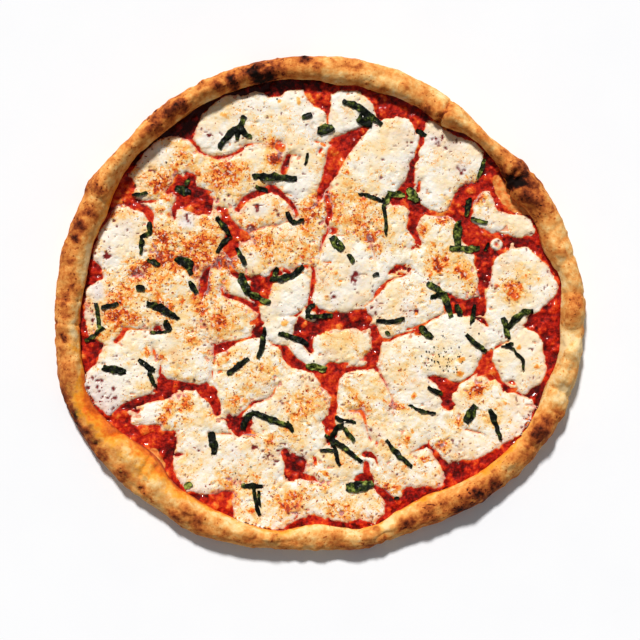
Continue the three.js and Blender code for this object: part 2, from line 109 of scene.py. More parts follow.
def lumps(points, size, seed):
    """Smooth noise from -1 to 1, with lumps of about that size in millimetres."""
    places = points / size
    corner = np.floor(places).astype(np.int64)
    t = places - corner
    t = t * t * (3 - 2 * t)
    total = np.zeros(len(points))
    # Each corner of the grid has a number of its own, mixed from the bits of its place.
    for offset in np.ndindex(2, 2, 2):
        cell = corner + offset
        mixed = cell[:, 0] * 73856093 ^ cell[:, 1] * 19349663 ^ cell[:, 2] * 83492791 ^ seed * 2654435761
        mixed = (mixed ^ mixed >> 13) * 1274126177 & 0xFFFFFFFF
        mixed = (mixed ^ mixed >> 16) * 2246822519 & 0xFFFFFFFF
        share = np.prod(np.where(offset, t, 1 - t), axis=1)
        total += share * (mixed / 0x7FFFFFFF - 1)
    return total


def rough(points, size, seed, layers=3):
    """Lumps with finer and finer lumps on them."""
    return sum(lumps(points, size / 2 ** k, seed + k) / 2 ** k for k in range(layers))


def smooth(low, high, value):
    t = np.clip((value - low) / (high - low), 0, 1)
    return t * t * (3 - 2 * t)


def rim_sections():
    """The frame's rim as sections of (radius, height) round its own middle, and that middle."""
    points = cad_points("crust")
    near = np.hypot(points[:, 0], points[:, 1]) < MIDDLE
    middle = points[near].mean(axis=0)[:2]
    rim = points[~near]
    away = rim[:, :2] - middle
    radius = np.hypot(away[:, 0], away[:, 1])
    sectors = np.count_nonzero(rim[:, 2] < 0.01)
    turn = np.arctan2(away[:, 1], away[:, 0]) / (2 * np.pi)
    sector = np.round(turn * sectors).astype(int) % sectors
    sections = np.empty((sectors, RIM_POINTS, 2))
    # The points of a section go round its heart, from the inner foot over the top to the underside.
    for i in range(sectors):
        mine = sector == i
        line = np.column_stack((radius[mine], rim[mine, 2]))
        heart = [line[:, 0].min() / 2 + line[:, 0].max() / 2, 0.42 * line[:, 1].max()]
        bearing = np.degrees(np.arctan2(line[:, 1] - heart[1], line[:, 0] - heart[0]))
        sections[i] = line[np.argsort(-((bearing + 120) % 360))]
    return sections, middle


def grid_faces(rows, columns, wrap):
    """Quads of a grid of points, row after row; wrap joins the last row to the first."""
    row = np.arange(rows if wrap else rows - 1)
    a = (row[:, None] * columns + np.arange(columns - 1)).ravel()
    b = ((row[:, None] + 1) % rows * columns + np.arange(columns - 1)).ravel()
    return np.column_stack((a, b, b + 1, a + 1))


def new_piece(name, points, faces):
    """A smooth-shaded mesh object from points in millimetres and faces of any size."""
    mesh = bpy.data.meshes.new(name)
    mesh.from_pydata((np.asarray(points) * MM).tolist(), [], [list(face) for face in faces])
    mesh.validate()
    mesh.shade_smooth()
    piece = bpy.data.objects.new(name, mesh)
    bpy.context.scene.collection.objects.link(piece)
    return piece


def paint(piece, **masks):
    """Named numbers on the points of a piece, which its finish reads."""
    for name, values in masks.items():
        layer = piece.data.attributes.new(name, "FLOAT", "POINT")
        layer.data.foreach_set("value", np.asarray(values, dtype=np.float32))


class Wire:
    """One value, colour or vector between shader nodes. Arithmetic on it adds Math nodes."""

    def __init__(self, recipe, socket):
        self.recipe = recipe
        self.socket = socket

    def maths(self, operation, first, second):
        return self.recipe.node("Math", {"operation": operation}, {0: first, 1: second})

    def __add__(self, other):
        return self.maths("ADD", self, other)

    def __sub__(self, other):
        return self.maths("SUBTRACT", self, other)

    def __rsub__(self, other):
        return self.maths("SUBTRACT", other, self)

    def __mul__(self, other):
        return self.maths("MULTIPLY", self, other)

    def __abs__(self):
        return self.recipe.node("Math", {"operation": "ABSOLUTE"}, {0: self})

    __radd__ = __add__
    __rmul__ = __mul__


class Recipe:
    """The shader nodes of one finish, round one Principled shader with its fixed values."""

    def __init__(self, name, fixed):
        self.material = bpy.data.materials.new(name)
        self.material.use_nodes = True
        self.tree = self.material.node_tree
        self.shader = self.tree.nodes["Principled BSDF"]
        for socket, value in fixed.items():
            self.shader.inputs[socket].default_value = value

    def feed(self, socket, value):
        if isinstance(value, Wire):
            self.tree.links.new(value.socket, socket)
        else:
            socket.default_value = value

    def node(self, kind, settings, sockets, output=0):
        """A new node: its settings first, then what its sockets hold or are linked to."""
        made = self.tree.nodes.new("ShaderNode" + kind)
        for name, value in settings.items():
            if name == "stops":
                while len(made.color_ramp.elements) < len(value):
                    made.color_ramp.elements.new(1)
                for element, (place, colour) in zip(made.color_ramp.elements, value):
                    element.position = place
                    element.color = colour
            else:
                setattr(made, name, value)
        for key, value in sockets.items():
            self.feed(made.inputs[key], value)
        return Wire(self, made.outputs[output])

    def mask(self, name):
        return self.node("Attribute", {"attribute_name": name}, {}, "Fac")

    def speckle(self, size, detail=3, roughness=0.55, distortion=0.0):
        """Noise about 0.5, with spots of about that size in millimetres."""
        place = self.node("TexCoord", {}, {}, "Object")
        values = {"Vector": place, "Scale": 1 / (size * MM), "Detail": detail,
                  "Roughness": roughness, "Distortion": distortion}
        return self.node("TexNoise", {}, values, "Fac")

    def step(self, value, low, high):
        """0 where the value is under low, 1 where it is over high, smooth between."""
        settings = {"interpolation_type": "SMOOTHSTEP"}
        return self.node("MapRange", settings, {"Value": value, "From Min": low, "From Max": high})

    def ramp(self, value, stops):
        return self.node("ValToRGB", {"stops": stops}, {"Fac": value}, "Color")

    def mix(self, first, second, share):
        """The first colour where share is 0 and the second where it is 1."""
        settings = {"data_type": "RGBA", "clamp_factor": True}
        return self.node("Mix", settings, {0: share, 6: first, 7: second}, 2)

    def finish(self, colour, roughness, bumps):
        """Links the colour, roughness and bumps, each (height, depth in millimetres)."""
        self.feed(self.shader.inputs["Base Color"], colour)
        self.feed(self.shader.inputs["Roughness"], roughness)
        normal = None
        for height, depth in bumps:
            sockets = {"Height": height, "Distance": depth * MM, "Strength": 1.0}
            if normal:
                sockets["Normal"] = normal
            normal = self.node("Bump", {}, sockets, "Normal")
        self.feed(self.shader.inputs["Normal"], normal)
        return self.material


def srgb(red, green, blue):
    """A screen colour, 0 to 255 each, as the linear colour that a shader takes."""
    parts = [part / 255 for part in (red, green, blue)]
    return (*[p / 12.92 if p <= 0.04045 else ((p + 0.055) / 1.055) ** 2.4 for p in parts], 1)


sections, rim_middle = rim_sections()
sector_places = np.arange(AROUND) * len(sections) / AROUND
across_places = np.arange((RIM_POINTS - 1) * ACROSS_STEP + 1) / ACROSS_STEP
rim_grid = along_curve(sections, sector_places, closed=True).swapaxes(0, 1)
rim_grid = along_curve(rim_grid, across_places).swapaxes(0, 1)
angles = 2 * np.pi * np.arange(AROUND) / AROUND
outward = np.column_stack((np.cos(angles), np.sin(angles), np.zeros(AROUND)))
foot_radius = rim_grid[:, 0, 0]
rim_points = rim_grid[:, :, :1] * outward[:, None, :]
rim_points[:, :, :2] += rim_middle
rim_points[:, :, 2] = np.maximum(rim_grid[:, :, 1], 0)
slope = np.gradient(rim_points, axis=1)
run = np.roll(rim_points, -1, axis=0) - np.roll(rim_points, 1, axis=0)
rim_normal = np.cross(slope, run)
rim_normal /= np.linalg.norm(rim_normal, axis=2, keepdims=True) + 1e-9

flat = rim_points.reshape(-1, 3)
flat_normal = rim_normal.reshape(-1, 3)
# 0 at the inner foot of the rim and 1 where its underside begins; both ends keep the frame's place.
across = np.tile(across_places / (RIM_POINTS - 1), AROUND)
free = smooth(0.0, 0.06, across) * smooth(0.2, 4, flat[:, 2])

# Bubbles under the skin of the dough, from pinheads to a fingertip.
rng = np.random.default_rng(15)
tree = KDTree(len(flat))
for index, point in enumerate(flat):
    tree.insert(point, index)
tree.balance()
swelling = np.zeros(len(flat))
blister_top = np.zeros(len(flat))
skin = np.flatnonzero((across > 0.2) & (across < 0.85))
smallest, largest = BLISTER_SIZES
for centre in rng.choice(skin, BLISTERS, replace=False):
    size = smallest + (largest - smallest) * rng.random() ** 3
    rise = size * (0.16 + 0.14 * rng.random())
    for _, index, distance in tree.find_range(flat[centre], 1.35 * size):
        dome = float(smooth(1.3 * size, 0.35 * size, distance))
        swelling[index] = max(swelling[index], rise * dome)
        blister_top[index] = max(blister_top[index], dome * min(1, size / 3))

relief = 1.5 * lumps(flat, 31, 3) + 0.75 * rough(flat, 13, 1) + 0.3 * rough(flat, 4.5, 5)
wrinkle = np.clip(1 - 5 * np.abs(rough(flat * (1, 1, 0.5), 11, 9)), 0, 1)
wrinkle *= smooth(0, 0.5, lumps(flat, 26, 12))
relief -= 0.6 * wrinkle
# The inner side stands steep at its foot and rounds over early.
relief += PLUMP * smooth(0.03, 0.17, across) * smooth(0.52, 0.26, across)

# Where the dough was pinched: the ends of each crease, and how deep it is.
CREASES = (
    (173, -62, 192, -74, 1.2), (184, 31, 196, 43, 1.0), (190, -24, 183, -33, 0.8), (196, 6, 184, 8, 0.9),
    (-196, 4, -180, 2, 1.2), (-197, -14, -179, -16, 1.2), (138, 80, 150, 95, 2.2),
    (144, 98, 134, 86, 1.6), (176, 22, 184, 36, 0.8), (-166, -104, -148, -97, 1.0),
    (-120, -120, -134, -139, 0.9), (-96, 146, -88, 158, 0.7), (48, -170, 50, -182, 0.7),
    (150, -100, 160, -108, 0.9), (86, 132, 96, 149, 3.2), (-125, -112, -133, -127, 1.6),
    (176, 44, 186, 52, 0.7), (168, 50, 178, 60, 0.6), (183, -50, 190, -72, 0.8),
)


def off_line(x, y, x0, y0, x1, y1):
    """How far places lie from the line between two points, and how far along it as a share."""
    run_x, run_y = x1 - x0, y1 - y0
    along = np.clip(((x - x0) * run_x + (y - y0) * run_y) / max(run_x ** 2 + run_y ** 2, 0.01), 0, 1)
    return np.hypot(x - x0 - along * run_x, y - y0 - along * run_y), along


# Painted shade: a dark line along the bottom of each crease, which darkens the rim's colour below.
crease_shade = np.zeros(len(flat))
for *ends, depth in CREASES:
    away = off_line(flat[:, 0], flat[:, 1], *ends)[0] + 1.1 * lumps(flat, 5, 17)
    groove = smooth(2.6, 0.2, away) * smooth(2, 6, flat[:, 2])
    relief -= depth * groove
    crease_shade = np.maximum(crease_shade, depth / 2 * smooth(1.6, 0, away))
flat_shaped = flat + flat_normal * (free * (relief + swelling))[:, None]
flat_shaped[:, 2] = np.maximum(flat_shaped[:, 2], 0)

# Places that the oven darkened most: x, y, radius in millimetres and how dark. The faint ones at
# (81, 143), (76, 145), (70, 147) and (47, 157) are painted shade on the inner slope beside the fold
# at the upper right.
CHARRED_AND_FOLD_SHADE = (
    (-46, 168, 9, 1.0), (-39, 171, 7, 0.9), (-65, 164, 7, 0.95), (-73, 160, 5, 0.6), (-41, 175, 6, 0.6),
    (-12, 180, 6, 0.6), (-103, 144, 8, 0.6), (-110, 139, 6, 0.5), (-123, 129, 6, 0.4), (-180, 47, 4, 0.6),
    (-169, 66, 5, 0.35), (-183, 32, 5, 0.35), (-189, -25, 5, 0.5), (-189, -35, 5, 0.5),
    (-182, -9, 4, 0.3), (-179, -82, 5, 0.6), (-175, -94, 6, 0.45), (-169, -104, 8, 0.45),
    (-162, -114, 7, 0.45), (-148, -126, 8, 0.35), (-130, -139, 7, 0.38), (-125, -146, 6, 0.35),
    (-49, -174, 6, 0.4), (61, -164, 6, 0.55), (108, -148, 9, 0.5), (98, -153, 7, 0.5),
    (117, -142, 7, 0.5), (130, -131, 6, 0.45), (163, -96, 8, 0.6), (167, -87, 6, 0.42),
    (173, -76, 6, 0.35), (184, -12, 8, 0.1), (183, -18, 5, 0.12), (-128, -119, 6, 0.32),
    (-36, -166, 5, 0.45), (37, -165, 4, 0.6), (33, -166, 3, 0.45), (137, 101, 5, 0.4), (144, 99, 5, 0.6),
    (151, 95, 5, 0.75), (141, 93, 6, 1.0), (146, 90, 6, 1.0), (140, 88, 5, 0.9), (136, 96, 5, 0.6),
    (158, 86, 5, 0.36), (157, 90, 5, 0.4), (160, 78, 5, 0.2), (153, 76, 5, 0.16), (150, 81, 5, 0.32),
    (76, 145, 5, 0.28), (70, 147, 5, 0.22), (47, 157, 5, 0.2), (28, 174, 5, 0.35), (20, 176, 5, 0.3),
    (186, -6, 7, 0.06), (-176, 58, 6, 0.44), (81, 143, 5, 0.3), (-33, -168, 4, 0.35),
)
char_and_shade = np.zeros(len(flat))
halo = np.zeros(len(flat))
ragged = 0.30 * rough(flat, 8, 21) + 0.22 * rough(flat, 2.4, 24)
for x, y, size, dark in CHARRED_AND_FOLD_SHADE:
    away = np.hypot(flat[:, 0] - x, flat[:, 1] - y) / size + ragged
    char_and_shade = np.maximum(char_and_shade, dark * smooth(1.15, 0.1, away))
    halo = np.maximum(halo, dark * smooth(CHAR_SPREAD, 0.3, away))
char_and_shade *= smooth(2, 7, flat[:, 2])
halo *= smooth(1, 7, flat[:, 2])


def round_rim(table):
    """Values round the rim in equal steps, for each of its points."""
    table = np.array(table, dtype=float)
    values = along_curve(table, np.arange(AROUND) * len(table) / AROUND, closed=True)
    return values.repeat(len(across_places))


outer_share = smooth(0.10, 0.55, across + 0.12 * lumps(flat, 16, 29))
# The rim's colour: the oven's browning, with painted shade and light from the two tables above and from the
# creases, wrinkles and fold added to it.
bake = round_rim(INNER_BAKE_AND_SHADING) * (1 - outer_share) + round_rim(TOP_BAKE_AND_SHADING) * outer_share
bake += 0.17 * rough(flat, 26, 31) + 0.13 * rough(flat, 7, 35)
bake -= 0.16 * smooth(0.7, 0.92, across)
# The tops of blisters and the rings round charred places are browner from the oven; the wrinkles and creases
# are darkened as painted shade.
bake += 0.10 * blister_top + 0.10 * wrinkle + 0.2 * crease_shade + 0.13 * halo
bake = np.clip(bake + 0.47 * char_and_shade, 0, 1)

# Oil from the cheese soaked up the inner slope, higher in some places than in others.
up_slope = flat[:, 2] - flat[:, 2].reshape(AROUND, -1)[:, 0].repeat(len(across_places))
reach_up = round_rim(OIL_REACH) * (1 + 0.5 * rough(flat, 16, 41)) + 0.8 * rough(flat, 4, 44)
stain = (1 - up_slope / np.maximum(reach_up, 0.5)) * smooth(0.62, 0.35, across)

rings = []
base_ring = flat_shaped.reshape(AROUND, -1, 3)[:, -1]
for share in UNDERSIDE_RINGS:
    ring = np.column_stack((rim_middle + (base_ring[:, :2] - rim_middle) * share, np.zeros(AROUND)))
    rings.append(ring)
all_rings = np.stack([*flat_shaped.reshape(AROUND, -1, 3).swapaxes(0, 1), *rings], axis=1)
columns = all_rings.shape[1]
crust_faces = grid_faces(AROUND, columns, wrap=True).tolist()
crust_points = np.vstack((all_rings.reshape(-1, 3), [[*rim_middle, BASE_TOP], [*rim_middle, 0]]))
top_hub = len(crust_points) - 2
for i in range(AROUND):
    j = (i + 1) % AROUND
    crust_faces.append((top_hub, i * columns, j * columns))
    crust_faces.append((top_hub + 1, (j + 1) * columns - 1, (i + 1) * columns - 1))
crust = new_piece("baked_crust", crust_points, [face[::-1] for face in crust_faces])


def with_underside(values, under):
    """Values of the rim's points, carried on over the underside and the two middle points."""
    block = values.reshape(AROUND, -1)
    filler = np.full((AROUND, len(UNDERSIDE_RINGS)), under)
    return np.append(np.hstack((block, filler)).ravel(), [under, under])


paint(crust, bake=with_underside(bake, 0.5), stain=with_underside(stain, 0))

bread = Recipe("baked_bread", {"Specular IOR Level": 0.09})
freckles = bread.step(bread.speckle(2.2, 1), 0.62, 0.70) * bread.step(bread.speckle(22, 2), 0.44, 0.56)
level = (bread.mask("bake") + 0.65 * (bread.speckle(10, 5, 0.6) - 0.5)
         + 0.55 * (bread.speckle(2.8, 4, 0.62) - 0.5) + 0.24 * freckles)
bread_colour = bread.ramp(level, [
    (0.04, srgb(247, 214, 158)), (0.18, srgb(240, 190, 118)), (0.33, srgb(230, 156, 80)),
    (0.47, srgb(208, 122, 54)), (0.60, srgb(166, 82, 36)), (0.73, srgb(112, 46, 22)),
    (0.85, srgb(56, 20, 9)), (0.97, srgb(20, 9, 6)),
])
oiled = bread.mask("stain") + 0.9 * (bread.speckle(4, 4, 0.6) - 0.5)
bread_colour = bread.mix(bread_colour, bread.ramp(oiled, [
    (0.10, srgb(250, 202, 104)), (0.34, srgb(250, 168, 44)), (0.60, srgb(234, 108, 20)),
    (0.90, srgb(176, 42, 10)),
]), 0.9 * bread.step(oiled, 0.05, 0.5))
crust.data.materials.append(bread.finish(
    bread_colour, 0.8 - 0.35 * bread.step(oiled, 0.1, 0.6),
    [(bread.speckle(3.0, 5, 0.62), 0.7), (bread.speckle(0.9, 3), 0.16)]))
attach(crust, "root")
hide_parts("crust")


# ---- Tomato sauce -----------------------------------------------------------------------------
# Crushed tomato spread thin with a ladle: wet red pulp, painted lighter and more orange on its lumps
# and darker in its hollows as painted light and shade. It lies on the base and climbs a little up the
# foot of the rim.

SAUCE_CELLS = 300
SAUCE_REACH = 1.6                  # how far it runs on into the foot of the rim
CELL = 0.8                         # the spacing of the maps of what lies on the base
HALF = 250                         # cells from the middle to the edge of the maps
CHUNKS = 5200
CHUNK_SPREAD = 177                 # how far from the middle they go, each way
SAUCE_UNDERSIDE = BASE_TOP + 0.1
# Dough that shows through a thin place in the sauce, as a streak of x, y and half width.
BARE_DOUGH = (
    ((131, 93, 2.5), (134, 86, 4.5), (139, 78, 5), (146, 72, 4), (156, 68, 2)), ((-168, 74, 3),
     (-171, 66, 3.5), (-173, 58, 2.5)), ((-124, -112, 4), (-118, -120, 3)), ((84, 134, 1.5),
     (92, 130, 2)),
)


def surface(mesh):
    """A mesh, ready for dropping points on it in millimetres."""
    corners = [v.co / MM for v in mesh.vertices]
    return BVHTree.FromPolygons(corners, [p.vertices for p in mesh.polygons])


def drop(onto, x, y):
    """The height of a surface's top at each x and y, and nan where it has none."""
    down = Vector((0, 0, -1))
    heights = np.full(len(x), np.nan)
    for i, (px, py) in enumerate(zip(x, y)):
        hit = onto.ray_cast(Vector((px, py, 60)), down)[0]
        if hit:
            heights[i] = hit.z
    return heights


def round_place(u, v):
    """A square's point carried to a disc, as (share of the radius, angle), with even cells."""
    share = np.maximum(np.abs(u), np.abs(v))
    wide = np.abs(u) >= np.abs(v)
    main = np.where(wide, u, v)
    side = np.where(wide, v, u)
    part = np.pi / 4 * side / np.where(main == 0, 1, main)
    angle = np.where(wide, part, np.pi / 2 - part) + np.where(main < 0, np.pi, 0)
    return share, angle


def foot_at(angle):
    """The radius of the rim's foot at each angle."""
    return along_curve(foot_radius, angle % (2 * np.pi) / (2 * np.pi) * AROUND, closed=True)


SAUCE_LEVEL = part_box("tomato_sauce")[1][2] / MM - 0.5


def past_foot(x, y):
    """How far a place lies past the foot of the rim, in millimetres."""
    away = np.column_stack((x, y)) - rim_middle
    return np.hypot(away[:, 0], away[:, 1]) - foot_at(np.arctan2(away[:, 1], away[:, 0]))


axis = np.arange(-HALF, HALF + 1) * CELL
map_x, map_y = np.meshgrid(axis, axis)
cells = len(axis)
everywhere = np.column_stack((map_x.ravel(), map_y.ravel(), np.zeros(cells * cells)))


def window_round(low, high, spare=16):
    """The part of the maps round a box, with some cells to spare."""
    first = np.floor(np.array(low)[:2] / CELL).astype(int) + HALF - spare
    last = np.ceil(np.array(high)[:2] / CELL).astype(int) + HALF + spare + 1
    first, last = np.clip(first, 0, cells), np.clip(last, 0, cells)
    return slice(first[1], last[1]), slice(first[0], last[0])


def past_streak(points):
    """The window round a streak of x, y and half width, and how far outside it each place there is."""
    table = np.array(points * 2 if len(points) == 1 else points, float)
    middles, halves = table[:, :2], table[:, 2:]
    window = window_round((middles - halves).min(axis=0), (middles + halves).max(axis=0))
    nearest = np.full(map_x[window].shape, np.inf)
    for (x0, y0, half0), (x1, y1, half1) in zip(table, table[1:]):
        away, along = off_line(map_x[window], map_y[window], x0, y0, x1, y1)
        nearest = np.minimum(nearest, away - half0 - along * (half1 - half0))
    return window, nearest


def noise_map(size, seed, layers=3):
    return rough(everywhere, size, seed, layers).reshape(cells, cells)


def blurred(values, times):
    for _ in range(times):
        values = (values + np.roll(values, 1, 0) + np.roll(values, -1, 0) + np.roll(values, 1, 1)
                  + np.roll(values, -1, 1)) / 5
    return values


def read_map(values, x, y):
    """What a map says at each x and y, blended from the four cells round it."""
    column = np.clip(x / CELL + HALF, 0, cells - 1.001)
    row = np.clip(y / CELL + HALF, 0, cells - 1.001)
    left, low = column.astype(int), row.astype(int)
    s, t = column - left, row - low
    return ((values[low, left] * (1 - s) + values[low, left + 1] * s) * (1 - t)
            + (values[low + 1, left] * (1 - s) + values[low + 1, left + 1] * s) * t)


# Crushed tomato: lumps of pulp of all sizes in thin juice, each lump with its own ripeness.
pulp_map = 0.35 * noise_map(17, 50, 1) + 0.25 * noise_map(3.2, 51, 2) - 0.35
tone_map = 0.5 * noise_map(6, 55, 2)
chunk_rng = np.random.default_rng(41)
for _ in range(CHUNKS):
    x, y = chunk_rng.uniform(-CHUNK_SPREAD, CHUNK_SPREAD, 2)
    longer = 1.2 + 3.2 * chunk_rng.random() ** 2
    shorter = longer * chunk_rng.uniform(0.45, 0.95)
    heading = chunk_rng.uniform(0, math.pi)
    rise = 0.30 + 0.30 * shorter * chunk_rng.uniform(0.4, 1)
    window = window_round((x - longer, y - longer), (x + longer, y + longer), spare=1)
    ahead = (map_x[window] - x) * math.cos(heading) + (map_y[window] - y) * math.sin(heading)
    aside = (map_y[window] - y) * math.cos(heading) - (map_x[window] - x) * math.sin(heading)
    dome = np.sqrt(np.maximum(1 - (ahead / longer) ** 2 - (aside / shorter) ** 2, 0))
    height = np.where(dome > 0, rise * dome, -9)
    higher = height > pulp_map[window]
    pulp_map[window] = np.where(higher, height, pulp_map[window])
    tone_map[window] = np.where(higher, chunk_rng.normal(0, 1), tone_map[window])
pulp_map += 0.10 * noise_map(2.4, 57, 2)

u, v = np.meshgrid(np.linspace(-1, 1, SAUCE_CELLS + 1), np.linspace(-1, 1, SAUCE_CELLS + 1))
share, angle = round_place(u.ravel(), v.ravel())
reach = share * (foot_at(angle) + SAUCE_REACH)
sx = rim_middle[0] + reach * np.cos(angle)
sy = rim_middle[1] + reach * np.sin(angle)
sauce_relief = read_map(pulp_map, sx, sy)
sz = SAUCE_LEVEL + sauce_relief
side = SAUCE_CELLS + 1
sauce_faces = grid_faces(side, side, wrap=False)[:, ::-1].tolist()
edge = [*range(side), *range(2 * side - 1, side * side, side),
        *range(side * side - 2, side * (side - 1) - 1, -1), *range(side * (side - 2), 0, -side)]
low_ring = np.column_stack((sx[edge], sy[edge], np.full(len(edge), SAUCE_UNDERSIDE)))
sauce_points = np.vstack((np.column_stack((sx, sy, sz)), low_ring, [[*rim_middle, SAUCE_UNDERSIDE]]))
first = side * side
for i in range(len(edge)):
    j = (i + 1) % len(edge)
    sauce_faces.append((edge[i], edge[j], first + j, first + i))
    sauce_faces.append((first + i, first + j, first + len(edge)))
sauce = new_piece("tomato_sauce_pulp", sauce_points, [face[::-1] for face in sauce_faces])

# The red of the sauce is also painted darker in the rim's shadow at the upper left: painted shadow.
pulpy = Recipe("crushed_tomato", {
    "Specular IOR Level": 0.08, "Coat Weight": 0.26, "Coat Roughness": 0.07})
# The red is painted lighter on the sauce's lumps and darker in its hollows, as painted light and shade.
red = pulpy.ramp(0.36 + 0.26 * pulpy.mask("relief") + 0.07 * pulpy.mask("tone")
                 + 1.0 * (pulpy.speckle(15, 4) - 0.5) + 1.1 * (pulpy.speckle(2.4, 4, 0.6) - 0.5)
                 + 0.32 * pulpy.mask("oil") - 0.42 * pulpy.mask("shaded"), [
    (0.04, srgb(60, 5, 3)), (0.24, srgb(124, 10, 5)), (0.42, srgb(182, 26, 10)),
    (0.58, srgb(214, 54, 18)), (0.76, srgb(236, 98, 30)), (0.94, srgb(248, 150, 64)),
])
bare_dough = pulpy.ramp(pulpy.speckle(3, 4), [(0.35, srgb(240, 168, 90)), (0.62, srgb(226, 112, 42))])
red = pulpy.mix(red, bare_dough,
                pulpy.step(pulpy.mask("dough") + 1.2 * (pulpy.speckle(5, 4) - 0.5), 0.25, 0.75))
sauce.data.materials.append(pulpy.finish(
    red, 0.28 + 0.3 * pulpy.speckle(3, 3),
    [(pulpy.speckle(2.2, 5, 0.65), 0.8), (pulpy.speckle(0.9, 2), 0.14)]))
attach(sauce, "root")
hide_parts("tomato_sauce")


# ---- Mozzarella -------------------------------------------------------------------------------
# Slices of fresh mozzarella that melted and ran into each other and into the sauce: creamy and
# smooth where thick, greyish and pitted where thin, with stains of orange oil and browned blisters.

SINK = 2.0                         # how far the cheese runs on under the sauce
OVERLAP = 2.5                      # how far a slice runs on under its neighbour
TUCKED = 0.35                      # how much lower it lies there
THICK = 1.7
LEAST_THICK = 0.2
BOTTOM_DEPTH = 1.3                 # how far a slice's bottom lies under the top of the sauce
BRIDGED = 4                        # cells on each side of a gap that the melted cheese closed
BLENDED = 12                       # cells over which one slice's oiliness fades into the next one's
CLIMB = 11                         # how far past the rim's foot a slice may go

# How oily each slice is, from 0 to 1, in the order of the frame's names.
OILINESS = (
    0.24, 0.13, 0.07, 0.54, 0.25, 0.13, 0.58, 0.52, 0.52, 0.62, 0.27, 0.42, 0.38,
    0.38, 0.33, 0.10, 0.29, 0.11, 0.14, 0.31, 0.35, 0.12, 0.12, 0.25, 0.10, 0.31,
)
# Cheese that ran out of a slice: its number, then the points of a streak as x, y and half width.
RUNS = (
    (1, (-36, 150, 4), (-31, 140, 5), (-30, 128, 6), (-39, 124, 4)), (2, (-24, 140, 7), (-26, 128, 6),
     (-18, 121, 7), (-11, 117, 6), (-22, 117, 3)), (4, (10, 79, 4), (22, 80, 4), (34, 80, 4),
     (44, 77, 3)), (4, (54, 39, 4), (61, 40, 4)), (5, (-3, 4, 3), (2, 0, 4), (9, -1, 5)), (5, (14, 45, 3),
     (26, 44, 3), (36, 43, 3), (44, 40, 4), (52, 34, 4.5), (60, 33, 4.5), (66, 34, 4)), (6, (-10, -9, 3),
     (-5, -11.5, 1.6)), (6, (-14, 20, 3), (-11, 24, 2)), (7, (-58, 30, 5), (-48, 27, 6), (-41, 24, 4)),
    (7, (-72, 72, 4), (-68, 76, 5)), (8, (-134, 82, 4), (-126, 82, 4), (-117, 84, 6.5), (-113, 74, 5.5),
     (-115, 64, 6), (-118, 56, 5)), (8, (-111, 121, 3), (-106, 119, 4)), (8, (-81, 88, 4), (-72, 84, 6),
     (-62, 82, 6)), (9, (-104, 64, 5), (-96, 62, 5), (-86, 62, 4)), (9, (-80, 62, 4), (-76, 68, 3)), (10,
     (-158, 22, 3), (-148, 26, 4.5), (-138, 27, 5.5), (-126, 29, 7), (-114, 31, 6), (-103, 31, 5),
     (-93, 31, 5), (-82, 33, 5), (-75, 36, 4)), (10, (-140, -13, 5), (-128, -12, 6), (-119, -12, 5),
     (-105, -16, 4), (-95, -17, 5), (-87, -21, 5)), (11, (-138, -26, 5), (-128, -26, 6), (-121, -29, 5),
     (-118, -36, 4)), (11, (-158, -54, 6), (-167, -59, 5), (-176, -64, 4.6)), (11, (-160, -70, 6),
     (-154, -78, 5.5)), (12, (-121, -34, 3), (-112, -24, 5), (-100, -22, 5), (-90, -26, 5)), (12,
     (-79, -42, 4), (-79, -56, 4)), (13, (-136, -86, 4), (-122, -84, 5)), (13, (-28, -136, 5),
     (-20, -138, 6), (-10, -142, 8)), (13, (-36, -100, 6), (-42, -103, 5)), (13, (-60, -160, 4),
     (-44, -162, 5), (-30, -164, 4)), (14, (-46, -92, 4), (-38, -98, 4), (-30, -102, 3)), (15,
     (44, -125, 4.5), (46, -132, 4.5), (54, -136, 6), (57, -140, 3.8)), (15, (93, -84, 5), (94, -92, 5),
     (92, -100, 4)), (15, (60, -80, 6), (72, -78, 6), (84, -80, 6)), (15, (28, -104, 5), (24, -110, 6)),
    (16, (-17, -32, 3.5), (-15, -38, 4.2), (-8, -42.5, 3.6), (0, -44, 4)), (17, (16, -86, 5),
     (24, -89, 6.5), (29, -97, 5), (18, -98, 5)), (17, (42, -76, 5), (46, -84, 4)), (18, (57, -68, 5),
     (66, -72, 6), (78, -72, 6), (86, -75, 4)), (18, (82, -30, 4), (83, -40, 4), (84, -48, 3)), (19,
     (122, -22, 2.5), (124, -28, 2)), (20, (70, 22, 3), (76, 17, 3), (83, 10, 3)), (20, (50, -21, 4.6)),
    (20, (38, 0, 4)), (21, (70, 32, 4), (74, 27, 4)), (21, (104, 42, 4), (109, 38, 3.6)), (21,
     (114, 9, 4)), (22, (82, 133, 2.6), (80, 124, 4)), (23, (123, 79, 3.6), (118, 73, 3.8)), (24,
     (145, 36, 3.6), (151, 38, 4)), (24, (130, -24, 4.5), (137, -24, 4)), (24, (150, -11, 3),
     (144, -16, 2)), (25, (148, -21, 4), (143, -27, 3)), (26, (98, -84, 4), (97, -92, 4), (97, -100, 4)),
    (26, (120, -58, 5), (112, -60, 4), (130, -63, 4)),
)
